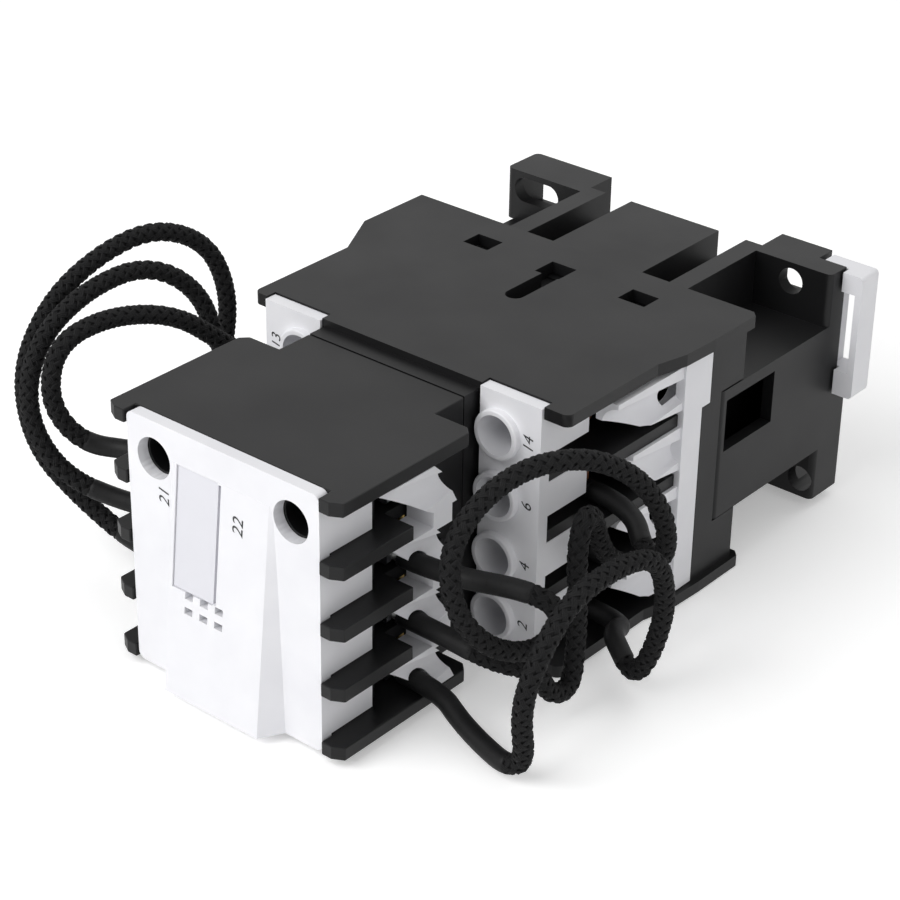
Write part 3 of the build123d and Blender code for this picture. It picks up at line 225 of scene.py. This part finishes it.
def ease_edges(piece, width):
    """Weld the export's split corners, round the sharp ones and even out the shading."""
    weld = piece.modifiers.new("weld", "WELD")
    weld.merge_threshold = WELD_GAP * MM
    bevel = piece.modifiers.new("eased edges", "BEVEL")
    bevel.width = width * MM
    bevel.segments = EDGE_SEGMENTS
    bevel.limit_method = "ANGLE"
    bevel.angle_limit = SHARP_FROM
    bevel.use_clamp_overlap = True
    smooth = piece.modifiers.new("even shading", "WEIGHTED_NORMAL")
    smooth.keep_sharp = True
    smooth.weight = FACE_AREA_WEIGHT


def dress(material, edge, *names):
    """Give CAD nodes their material, and eased edges of that width where it isn't 0."""
    for name in names:
        nodes[name].data.materials.clear()
        nodes[name].data.materials.append(material)
        if edge:
            ease_edges(nodes[name], edge)


# The mould's spark-eroded grain of about 0.25 mm keeps it between satin and matt, and the flow of the
# melt shows as faint changes of gloss over 15 mm. The small edge radius catches the light.
black_nylon = surface(
    "black glass-filled nylon",
    colours=("#0B0B0C", "#0F0F10"),
    roughness=(0.42, 0.5),
    patch=15,
    grain=0.25,
    depth=0.01,
    specular=0.28,
)
BLACK_EDGE = 0.18
dress(black_nylon, BLACK_EDGE, "base_housing")

# Rail latch. A white nylon slider with its pull tab, moulded in a polished tool, and the small coil
# spring of steel wire behind it. It slides in the base and hooks the rail.
# The nylon is milky and satin, with only a trace of grain.
white_nylon = surface(
    "white nylon",
    colours=("#E7E7EB", "#EDEDF0"),
    roughness=(0.34, 0.42),
    patch=9,
    grain=0.6,
    depth=0.004,
)
# Drawn and oil-tempered wire is grey with a soft shine and very fine marks.
spring_wire = surface(
    "oil-tempered spring steel",
    colours=("#8C8E91", "#A3A5A8"),
    roughness=(0.26, 0.38),
    patch=1.5,
    grain=0.15,
    depth=0.004,
    metallic=1.0,
)
WHITE_EDGE = 0.15
dress(white_nylon, WHITE_EDGE, "rail_latch")
dress(spring_wire, 0, "latch_spring")

# Magnet. The fixed core on its rubber buffers and the armature on its pin are stacks of punched
# electrical sheet, each 0.5 mm thick. Punched copper shading rings are pressed into the pole faces.
SHEET = 0.5
SHEET_RELIEF = 0.02


def ridged(material, axis, spacing, relief):
    """Replace a material's grain by ridges, one in every spacing along that axis."""
    tree = material.node_tree
    where = add(tree, "ShaderNodeTexCoord", {}).outputs["Object"]
    along = add(tree, "ShaderNodeSeparateXYZ", {0: where}).outputs[axis]
    angle = add(tree, MATH, {0: along, 1: 2 * pi / (spacing * MM)}, operation="MULTIPLY")
    wave = add(tree, MATH, {0: angle}, operation="SINE")
    ridges = add(tree, "ShaderNodeBump", {"Height": wave, "Distance": relief * MM})
    feed(tree, tree.nodes["Principled BSDF"], {"Normal": ridges})


# Bare electrical steel is a dull grey, and the edges of its sheets show as fine lines.
core_steel = surface(
    "laminated electrical steel",
    colours=("#7C7F83", "#93969A"),
    roughness=(0.35, 0.48),
    patch=4,
    grain=0.3,
    depth=0.004,
    metallic=1.0,
)
ridged(core_steel, "Z", SHEET, SHEET_RELIEF)
# Rolled copper has a warm shine, drawn out along the strip.
ALONG_STRIP = (0.15, 1, 1)
copper = surface(
    "rolled copper with silver tips",
    colours=("#AE7250", "#C08362"),
    roughness=(0.28, 0.4),
    patch=3,
    grain=0.2,
    depth=0.004,
    stretch=ALONG_STRIP,
    metallic=1.0,
)
# Moulded rubber is dull, with hardly any reflection.
rubber = surface(
    "moulded black rubber",
    colours=("#161616", "#1E1E1E"),
    roughness=(0.7, 0.85),
    patch=5,
    grain=0.3,
    depth=0.02,
)
# Bright zinc plating on turned and pressed steel is bluish grey, slightly uneven in gloss.
zinc = surface(
    "bright zinc-plated steel",
    colours=("#AFB2B5", "#C2C4C6"),
    roughness=(0.22, 0.38),
    patch=2.5,
    grain=0.12,
    depth=0.003,
    metallic=1.0,
)
METAL_EDGE = 0.12
dress(core_steel, 0, "fixed_core", "armature")
dress(copper, 0, "shading_rings")
dress(rubber, 0, "core_buffers")
dress(zinc, METAL_EDGE, "armature_pin")

# Coil. Enamelled wire of 0.3 mm is wound on a dark thermoset bobbin that sits on the core's middle
# leg. Stamped brass terminals lead forward to two zinc-plated screws.
WIRE = 0.3
WIRE_RELIEF = 0.06
# Thermoset with a mineral filler is brownish black and matt.
dark_thermoset = surface(
    "dark thermoset",
    colours=("#272220", "#302A27"),
    roughness=(0.45, 0.6),
    patch=6,
    grain=0.2,
    depth=0.01,
)
# The enamel is a clear brown coat on the copper, so the turns glint one by one.
enamel = surface(
    "enamelled wire",
    colours=("#5E2610", "#7A361A"),
    roughness=(0.22, 0.36),
    patch=2,
    grain=0.3,
    depth=0.02,
    coat=0.4,
)
ridged(enamel, "Y", WIRE, WIRE_RELIEF)
# Rolled brass is a pale yellow, with its shine drawn out along the strip.
brass = surface(
    "rolled brass strip",
    colours=("#AB9152", "#BFA568"),
    roughness=(0.28, 0.42),
    patch=3,
    grain=0.2,
    depth=0.004,
    stretch=ALONG_STRIP,
    metallic=1.0,
)
dress(dark_thermoset, WHITE_EDGE, "coil_bobbin")
dress(enamel, 0, "coil_winding")
dress(brass, 0, "coil_terminals")
dress(zinc, METAL_EDGE, "coil_screws")

# Contact carrier. A dark thermoset moulding that slides in the contact housing, with copper bridges
# that small coil springs press onto the contacts, and the return springs behind it.
dress(dark_thermoset, WHITE_EDGE, "contact_carrier")
dress(copper, 0, "contact_bridges")
dress(spring_wire, 0, "bridge_springs", "return_springs")

# Contact housing. The front half of the case, with the walls between the poles. It is moulded of the
# same black nylon as the base and closes the coil chamber.
dress(black_nylon, BLACK_EDGE, "contact_housing")

# Terminals of both sides. Copper contact bars lie in the housing's cells, and zinc-plated pan screws
# pull pressed clamp plates down on the wires.
dress(copper, 0, "load_contacts", "supply_contacts")
dress(zinc, METAL_EDGE, "load_screws", "supply_screws", "load_clamps", "supply_clamps")

# Terminal strips and wire guides. White nylon, each moulded in one piece and fitted to the housing: the
# strips with their screwdriver tubes in front, the guides with their funnels behind. The numbers on
# the strips are pad-printed in black, in slanted figures.
dress(white_nylon, WHITE_EDGE, "load_strip", "supply_strip", "load_guide", "supply_guide")
# Pad-printing ink is a thin black film with a soft sheen.
print_ink = surface(
    "pad-printing ink",
    colours=("#141417", "#1C1C20"),
    roughness=(0.45, 0.6),
    patch=1,
    grain=0.1,
    depth=0.001,
)
FIGURE_SLANT = 0.22
FONT_OVER_FIGURE = 1.4
PRINT_LIFT = 0.02
RAY_LEAD = 10
RAY_REACH = 30


def skin_of(node_name):
    """Search tree over a CAD node's faces, for finding its surface with a ray."""
    mesh = nodes[node_name].data
    return BVHTree.FromPolygons([v.co for v in mesh.vertices], [p.vertices for p in mesh.polygons])


def mark(words, node_name, centre, along, outward, height):
    """Print words on a node round a centre, read along one direction and seen from outward."""
    data = bpy.data.curves.new("letters", "FONT")
    data.body = words
    data.align_x = "CENTER"
    data.align_y = "CENTER"
    data.shear = FIGURE_SLANT
    data.size = height * MM * FONT_OVER_FIGURE
    letters = bpy.data.objects.new("letters", data)
    bpy.context.scene.collection.objects.link(letters)
    across = outward.cross(along)
    turned = Matrix((along, across, outward)).transposed().to_4x4()
    letters.matrix_world = Matrix.Translation(centre * MM) @ turned
    bpy.context.view_layer.update()
    seen = letters.evaluated_get(bpy.context.evaluated_depsgraph_get())
    mesh = bpy.data.meshes.new_from_object(seen)
    mesh.transform(letters.matrix_world)
    bpy.data.objects.remove(letters)
    skin = skin_of(node_name)
    for vertex in mesh.vertices:
        hit = skin.ray_cast(vertex.co + outward * RAY_LEAD * MM, -outward, RAY_REACH * MM)[0]
        if hit is not None:
            vertex.co = hit + outward * PRINT_LIFT * MM
    mesh.materials.clear()
    mesh.materials.append(print_ink)
    printed = bpy.data.objects.new("mark_" + words, mesh)
    bpy.context.scene.collection.objects.link(printed)
    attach(printed, "housing")


Y, Z = Vector((0, 1, 0)), Vector((0, 0, 1))
POLE_PITCH = 10.4
MIDDLE_CELL = 1.5
POLE_MARKS = (("2", "1"), ("4", "3"), ("6", "5"), ("14", "13"))
MARK_X = 25.0
STRIP_FIGURE = 1.9
strip_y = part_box("load_strip")[0].y / MM
for index, (load_mark, supply_mark) in enumerate(POLE_MARKS):
    pole_z = (index - MIDDLE_CELL) * POLE_PITCH
    mark(load_mark, "load_strip", Vector((MARK_X, strip_y, pole_z)), Z, -Y, STRIP_FIGURE)
    mark(supply_mark, "supply_strip", Vector((-MARK_X, strip_y, pole_z)), Z, -Y, STRIP_FIGURE)

# Front block. Its black nylon body, with fins between the cells, sits on the front of the contact
# housing. In it are the dark slide that follows the carrier, with brass bridges and springs, and the
# screw terminals behind white wire guides.
dress(black_nylon, BLACK_EDGE, "block_body")
dress(dark_thermoset, WHITE_EDGE, "block_slide")
dress(brass, 0, "block_bridges", "block_load_contacts", "block_supply_contacts")
dress(spring_wire, 0, "block_springs")
dress(zinc, METAL_EDGE, "block_load_screws", "block_supply_screws")
dress(zinc, METAL_EDGE, "block_load_clamps", "block_supply_clamps")
dress(white_nylon, WHITE_EDGE, "block_load_guide", "block_supply_guide")

# Cover of the front block. White nylon, moulded with side tabs that reach between the body's fins. Its
# raised panel holds a grey-white label card, and has six small square holes and a groove beside it.
# Places are X and Z, and sizes are width, height and depth below the panel's face.
HOLE_COLUMNS = (-5.2, -2.2, 0.8)
HOLE_ROWS = (-4.0, -6.4)
HOLE_SIZE = (1.6, 1.1, 1.4)
GROOVE_PLACE = (-0.2, 6.2)
GROOVE_SIZE = (0.7, 19.0, 1.6)
CUTTER_LEAD = 5
CUTTER_OUT = 2
BOX_FACES = ((2, 3, 1, 0), (5, 7, 6, 4), (1, 5, 4, 0), (6, 7, 3, 2), (4, 6, 2, 0), (3, 7, 5, 1))
COVER_FIGURE = 2.1
LEFT_MARK = (-11.5, 9.4)
RIGHT_MARK = (3.8, 10.6)
cover_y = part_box("block_cover")[0].y / MM
skin = skin_of("block_cover")
cuts = [(x, z, *HOLE_SIZE) for x in HOLE_COLUMNS for z in HOLE_ROWS]
cuts.append((*GROOVE_PLACE, *GROOVE_SIZE))
corners, faces = [], []
for x, z, wide, high, deep in cuts:
    first = len(corners)
    for above in (-1, 1):
        start = Vector((x, cover_y - CUTTER_LEAD, z + above * high / 2)) * MM
        skin_y = skin.ray_cast(start, Y, RAY_REACH * MM)[0].y / MM
        for y in (skin_y - CUTTER_OUT, skin_y + deep):
            for aside in (-1, 1):
                corners.append(Vector((x + aside * wide / 2, y, z + above * high / 2)) * MM)
    for face in BOX_FACES:
        faces.append([first + k for k in face])
cutter_mesh = bpy.data.meshes.new("cuts")
cutter_mesh.from_pydata(corners, [], faces)
cutter = bpy.data.objects.new("cuts", cutter_mesh)
cover = bpy.data.objects.new("cover_moulding", nodes["block_cover"].data.copy())
for piece in (cutter, cover):
    bpy.context.scene.collection.objects.link(piece)
weld = cover.modifiers.new("weld", "WELD")
weld.merge_threshold = WELD_GAP * MM
boolean = cover.modifiers.new("cut", "BOOLEAN")
boolean.solver = "EXACT"
boolean.operation = "DIFFERENCE"
boolean.object = cutter
bpy.context.view_layer.update()
moulded = bpy.data.meshes.new_from_object(cover.evaluated_get(bpy.context.evaluated_depsgraph_get()))
cover.modifiers.clear()
cover.data = moulded
bpy.data.objects.remove(cutter)
moulded.materials.clear()
moulded.materials.append(white_nylon)
ease_edges(cover, WHITE_EDGE)
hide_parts("block_cover")
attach(cover, "housing")
# The card is coated, so it is smoother and a little greyer than the nylon round it.
label_card = surface(
    "coated label card",
    colours=("#DADAE0", "#DCDCE2"),
    roughness=(0.24, 0.28),
    patch=15,
    grain=0.4,
    depth=0.002,
)
dress(label_card, 0, "label_plate")
mark("21", "block_cover", Vector((LEFT_MARK[0], cover_y, LEFT_MARK[1])), Z, -Y, COVER_FIGURE)
mark("22", "block_cover", Vector((RIGHT_MARK[0], cover_y, RIGHT_MARK[1])), Z, -Y, COVER_FIGURE)

# Leads. Each is an insulated wire in a plaited sleeve of black yarn, clamped at the block and at a
# pole, with shrink sleeves over both ends. Its route is a list of points picked from the photo: X out
# from the middle, depth in front of the mounting face, and Z.
BLOCK_END = 17.5
BLOCK_DEPTH = 95.7
BLOCK_STRAIGHT = 7.5
BLOCK_WIRE_DROP = 2.4
CELL_PITCH = 10.05
POLE_END = 25.5
POLE_DEPTH = 62.4
POLE_STRAIGHT = 8.5
POLE_WIRE_DROP = 2.65
CURVE_STEPS = 24
# Side of the device (1 for load, -1 for supply), cell counted from the lowest, points of the loop
LOOPS = {
    "load_lead_1": (1, 0, [
        (30, 97.2, -19.4), (35.5, 98.8, -20.2), (41.5, 100.5, -20.2), (44, 99.6, -18.8), (44.5, 101.8, -9.1),
        (45.5, 100.5, -2), (46.5, 94.9, 6.4), (47, 84.1, 7.7), (48, 75.6, 5.8), (47.5, 71.8, -3.3),
        (45.5, 70.7, -12), (43, 70.6, -18.6), (41, 70.8, -19.4), (38, 69.5, -17.6), (35, 67.5, -16.8),
    ]),
    "load_lead_2": (1, 1, [
        (33.5, 94, -9.5), (37, 88.5, -12), (38, 86.5, -17), (38.3, 82, -18.2), (38, 80.5, -12.5),
        (37.5, 80, -3), (37, 80, 4), (36.5, 78, 8.8), (35, 73.5, 6.5), (34.5, 71, 0), (34.5, 67, -5),
    ]),
    "load_lead_3": (1, 2, [
        (38.5, 90.5, 2.8), (41, 87.5, -2), (38, 90, -8), (35, 98, -4.5), (32, 102.5, 4), (31, 101, 14),
        (33.5, 92, 20.8), (38, 81.5, 21), (42, 73, 15.6), (44, 68, 7), (43, 66, -1.5), (39, 66, -2),
    ]),
    "supply_lead_1": (-1, 0, [
        (36, 98.5, -15.5), (46.5, 99.5, -11), (53.5, 102.5, -3), (56.5, 102, 9), (57.5, 94.5, 18),
        (57, 84, 23), (55.5, 72.5, 24.5), (52.5, 63.5, 19.5), (50, 61.5, 10), (48.5, 65, 1), (44.5, 68, -8),
        (38, 67, -15.5),
    ]),
    "supply_lead_2": (-1, 1, [
        (36.5, 98.5, -8.5), (45.5, 104.5, -4), (50.5, 106.5, 6), (52, 102, 16), (51.5, 91.5, 21.5),
        (49.5, 80, 22.5), (46, 72, 16), (43, 71.5, 6), (37.5, 67.5, -3.5),
    ]),
    "supply_lead_3": (-1, 2, [
        (36.5, 97, 0.5), (43, 102, 1.5), (45.5, 106, 9.5), (45.5, 103.5, 18.5), (43.5, 94, 20.5),
        (40, 83.5, 18), (37.5, 76, 11), (35.5, 68.5, 5),
    ]),
}


def lead_points(side, index, between):
    """Control points of a lead in metres: straight out of both clamps, with its loop between."""
    z_block = (index - MIDDLE_CELL) * CELL_PITCH - BLOCK_WIRE_DROP
    z_pole = (index - MIDDLE_CELL) * POLE_PITCH - POLE_WIRE_DROP
    points = [(BLOCK_END, BLOCK_DEPTH, z_block), (BLOCK_END + BLOCK_STRAIGHT, BLOCK_DEPTH, z_block)]
    points += between
    points += [(POLE_END + POLE_STRAIGHT, POLE_DEPTH, z_pole), (POLE_END, POLE_DEPTH, z_pole)]
    return [Vector((side * x, -depth, z)) * MM for x, depth, z in points]


def spline_curve(name, points):
    """One quadratic NURBS curve with those control points."""
    data = bpy.data.curves.new(name, "CURVE")
    data.dimensions = "3D"
    data.resolution_u = CURVE_STEPS
    spline = data.splines.new("NURBS")
    spline.points.add(len(points) - 1)
    for point, where in zip(spline.points, points):
        point.co = (*where, 1)
    spline.order_u = 3
    spline.use_endpoint_u = True
    curve = bpy.data.objects.new(name, data)
    bpy.context.scene.collection.objects.link(curve)
    return curve


def centreline(curve):
    """Points along a curve, close together."""
    mesh = bpy.data.meshes.new_from_object(curve.evaluated_get(bpy.context.evaluated_depsgraph_get()))
    points = [v.co.copy() for v in mesh.vertices]
    bpy.data.meshes.remove(mesh)
    return points


# The plaited sleeve: five strands of three yarns run each way, round a core that shuts its gaps.
YARN_SIDES = 6
CORE_SIDES = 12
BRAID_INPUTS = {
    "Geometry": "Geometry",
    "Strands": "Int",
    "Ends": "Int",
    "End Gap": "Float",
    "Pitch": "Float",
    "Radius": "Float",
    "Weave": "Float",
    "Yarn Radius": "Float",
    "Core Radius": "Float",
    "Step": "Float",
    "Material": "Material",
}


def braid_group():
    """Geometry Nodes group: strands wound both ways round a curve, each over and under the others."""
    group = bpy.data.node_groups.new("braid", "GeometryNodeTree")
    for label, kind in BRAID_INPUTS.items():
        group.interface.new_socket(label, in_out="INPUT", socket_type="NodeSocket" + kind)
    group.interface.new_socket("Geometry", in_out="OUTPUT", socket_type="NodeSocketGeometry")
    given = add(group, "NodeGroupInput", {}).outputs
    radius, strands, ends = given["Radius"], given["Strands"], given["Ends"]
    line = {"Curve": given["Geometry"], "Length": given["Step"]}
    even = add(group, "GeometryNodeResampleCurve", line, mode="LENGTH")
    joined = add(group, "GeometryNodeJoinGeometry", {})
    thread = {"Resolution": YARN_SIDES, "Radius": given["Yarn Radius"]}
    profile = add(group, "GeometryNodeCurvePrimitiveCircle", thread)
    normal = add(group, "GeometryNodeInputNormal", {})
    tangent = add(group, "GeometryNodeInputTangent", {})
    side = add(group, "ShaderNodeVectorMath", {0: tangent, 1: normal}, operation="CROSS_PRODUCT")
    # over one crossing strand and under the next: a rise and a dip for every two that it meets
    gone = add(group, "GeometryNodeSplineParameter", {}).outputs["Length"]
    along = add(group, MATH, {0: gone, 1: given["Pitch"]}, operation="DIVIDE")
    circles = add(group, MATH, {0: strands, 1: 2 * pi}, operation="MULTIPLY")
    crossings = add(group, MATH, {0: circles, 1: along}, operation="MULTIPLY")
    wave = add(group, MATH, {0: crossings}, operation="COSINE")
    rise = add(group, MATH, {0: wave, 1: given["Weave"]}, operation="MULTIPLY")
    for direction in (1, -1):
        # one copy of the line for each yarn, numbered by its strand and by its end in that strand
        yarns = add(group, MATH, {0: strands, 1: ends}, operation="MULTIPLY")
        every = {"Geometry": even, "Amount": yarns}
        copies = add(group, "GeometryNodeDuplicateElements", every, domain="SPLINE")
        which = copies.outputs["Duplicate Index"]
        half_on = add(group, MATH, {0: which, 1: 0.5}, operation="ADD")
        quotient = add(group, MATH, {0: half_on, 1: ends}, operation="DIVIDE")
        strand = add(group, MATH, {0: quotient}, operation="FLOOR")
        before = add(group, MATH, {0: strand, 1: ends}, operation="MULTIPLY")
        end = add(group, MATH, {0: which, 1: before}, operation="SUBTRACT")
        last = add(group, MATH, {0: ends, 1: 1.0}, operation="SUBTRACT")
        middle = add(group, MATH, {0: last, 1: 0.5}, operation="MULTIPLY")
        places = add(group, MATH, {0: end, 1: middle}, operation="SUBTRACT")
        aside = add(group, MATH, {0: places, 1: given["End Gap"]}, operation="MULTIPLY")
        # its angle round the line, from its strand, the distance gone and its place in the strand
        share = add(group, MATH, {0: strand, 1: strands}, operation="DIVIDE")
        wound = add(group, MATH, {0: along, 1: direction}, operation="MULTIPLY")
        turns = add(group, MATH, {0: share, 1: wound}, operation="ADD")
        turned = add(group, MATH, {0: turns, 1: 2 * pi}, operation="MULTIPLY")
        shift = add(group, MATH, {0: aside, 1: radius}, operation="DIVIDE")
        angle = add(group, MATH, {0: turned, 1: shift}, operation="ADD")
        # its distance out from the line, higher where it goes over and lower where it goes under
        lifted = add(group, MATH, {0: rise, 1: direction}, operation="MULTIPLY")
        reach_out = add(group, MATH, {0: radius, 1: lifted}, operation="ADD")
        cosine = add(group, MATH, {0: angle}, operation="COSINE")
        outward = add(group, MATH, {0: reach_out, 1: cosine}, operation="MULTIPLY")
        sine = add(group, MATH, {0: angle}, operation="SINE")
        sideways = add(group, MATH, {0: reach_out, 1: sine}, operation="MULTIPLY")
        out = add(group, "ShaderNodeVectorMath", {0: normal, "Scale": outward}, operation="SCALE")
        over = add(group, "ShaderNodeVectorMath", {0: side, "Scale": sideways}, operation="SCALE")
        offset = add(group, "ShaderNodeVectorMath", {0: out, 1: over}, operation="ADD")
        moved = add(group, "GeometryNodeSetPosition", {"Geometry": copies, "Offset": offset})
        swept = {"Curve": moved, "Profile Curve": profile, "Fill Caps": True}
        yarn = add(group, "GeometryNodeCurveToMesh", swept)
        feed(group, joined, {"Geometry": yarn})
    inner = {"Resolution": CORE_SIDES, "Radius": given["Core Radius"]}
    core_profile = add(group, "GeometryNodeCurvePrimitiveCircle", inner)
    swept = {"Curve": even, "Profile Curve": core_profile, "Fill Caps": True}
    core = add(group, "GeometryNodeCurveToMesh", swept)
    feed(group, joined, {"Geometry": core})
    real = add(group, "GeometryNodeRealizeInstances", {"Geometry": joined})
    smooth = add(group, "GeometryNodeSetShadeSmooth", {"Geometry": real})
    dyed = {"Geometry": smooth, "Material": given["Material"]}
    paint = add(group, "GeometryNodeSetMaterial", dyed)
    add(group, "NodeGroupOutput", {0: paint})
    return group


def made_by_nodes(curve, group, values):
    """Mesh that a node group makes of a curve, with the inputs given by name."""
    modifier = curve.modifiers.new(group.name, "NODES")
    modifier.node_group = group
    for item in group.interface.items_tree:
        if item.item_type == "SOCKET" and item.in_out == "INPUT" and item.name in values:
            modifier[item.identifier] = values[item.name]
    curve.update_tag()
    bpy.context.view_layer.update()
    mesh = bpy.data.meshes.new_from_object(curve.evaluated_get(bpy.context.evaluated_depsgraph_get()))
    curve.modifiers.remove(modifier)
    return mesh


def tube_mesh(points, radius, sides, drawn_in):
    """Smooth closed tube along points, its rings next to each end drawn in by those amounts."""
    rings, faces = [], []
    normal = (points[1] - points[0]).orthogonal().normalized()
    last = len(points) - 1
    for i, point in enumerate(points):
        way = (points[min(i + 1, last)] - points[max(i - 1, 0)]).normalized()
        normal = (normal - way * normal.dot(way)).normalized()
        side = way.cross(normal)
        from_end = min(i, last - i)
        r = radius - (drawn_in[from_end] if from_end < len(drawn_in) else 0)
        for k in range(sides):
            angle = 2 * pi * k / sides
            rings.append(point + (normal * cos(angle) + side * sin(angle)) * r)
    for i in range(last):
        for k in range(sides):
            a, b = i * sides + k, i * sides + (k + 1) % sides
            faces.append((a, b, b + sides, a + sides))
    faces.append(tuple(range(sides - 1, -1, -1)))
    faces.append(tuple(last * sides + k for k in range(sides)))
    mesh = bpy.data.meshes.new("tube")
    mesh.from_pydata(rings, [], faces)
    mesh.shade_smooth()
    return mesh


def part_of(points, start, end):
    """The points of a line between two distances along it, in millimetres."""
    part, gone = [], 0.0
    for a, b in zip(points[:-1], points[1:]):
        if start <= gone <= end:
            part.append(a)
        gone += (b - a).length / MM
    return part


# Plaited polyester is matt, nearly black, with darker gaps between its flat bundles of yarn.
braid_yarn = surface(
    "black polyester braid",
    colours=("#060607", "#121213"),
    roughness=(0.6, 0.8),
    patch=1.2,
    grain=0.08,
    depth=0.02,
    specular=0.22,
)
# Shrunk polyolefin tube is smooth, with a dull shine and a slight waviness from the braid under it.
shrink_tube = surface(
    "black shrink sleeve",
    colours=("#070708", "#0D0D0E"),
    roughness=(0.48, 0.62),
    patch=3,
    grain=0.8,
    depth=0.03,
    specular=0.26,
)
# Tinned copper is a pale, slightly warm grey with a soft shine.
tinned = surface(
    "tinned copper",
    colours=("#A0A09D", "#B2B2AF"),
    roughness=(0.3, 0.45),
    patch=1.5,
    grain=0.1,
    depth=0.003,
    metallic=1.0,
)
dress(tinned, 0, "lead_ferrules")
braid = braid_group()
WEAVING = {
    "Strands": 5,
    "Ends": 3,
    "End Gap": 0.3 * MM,
    "Pitch": 9.6 * MM,
    "Radius": 1.26 * MM,
    "Weave": 0.15 * MM,
    "Yarn Radius": 0.2 * MM,
    "Core Radius": 1.14 * MM,
    "Step": 0.4 * MM,
    "Material": braid_yarn,
}
# Length of each lead's shrink sleeve at the block and at the pole
SLEEVES = {
    "load_lead_1": (25.0, 18.0),
    "load_lead_2": (13.0, 7.0),
    "load_lead_3": (21.0, 14.0),
    "supply_lead_1": (22.0, 12.0),
    "supply_lead_2": (26.0, 12.0),
    "supply_lead_3": (27.0, 12.0),
}
SLEEVE_R = 1.58
SLEEVE_SIDES = 20
SLEEVE_ROUNDING = (0.12 * MM, 0.03 * MM)
for name, (side, index, between) in LOOPS.items():
    curve = spline_curve(name + " line", lead_points(side, index, between))
    bpy.context.view_layer.update()
    line = centreline(curve)
    length = sum((b - a).length for a, b in zip(line[:-1], line[1:]))
    mesh = made_by_nodes(curve, braid, WEAVING)
    bpy.data.objects.remove(curve)
    lead = bpy.data.objects.new(name + "_braid", mesh)
    bpy.context.scene.collection.objects.link(lead)
    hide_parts(name)
    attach(lead, "housing")
    total = length / MM
    at_block, at_pole = SLEEVES[name]
    for label, start, end in (("block", 0.0, at_block), ("pole", total - at_pole, total)):
        tube = tube_mesh(part_of(line, start, end), SLEEVE_R * MM, SLEEVE_SIDES, SLEEVE_ROUNDING)
        sleeve = bpy.data.objects.new(f"{name}_{label}_sleeve", tube)
        sleeve.data.materials.append(shrink_tube)
        bpy.context.scene.collection.objects.link(sleeve)
        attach(sleeve, "housing")
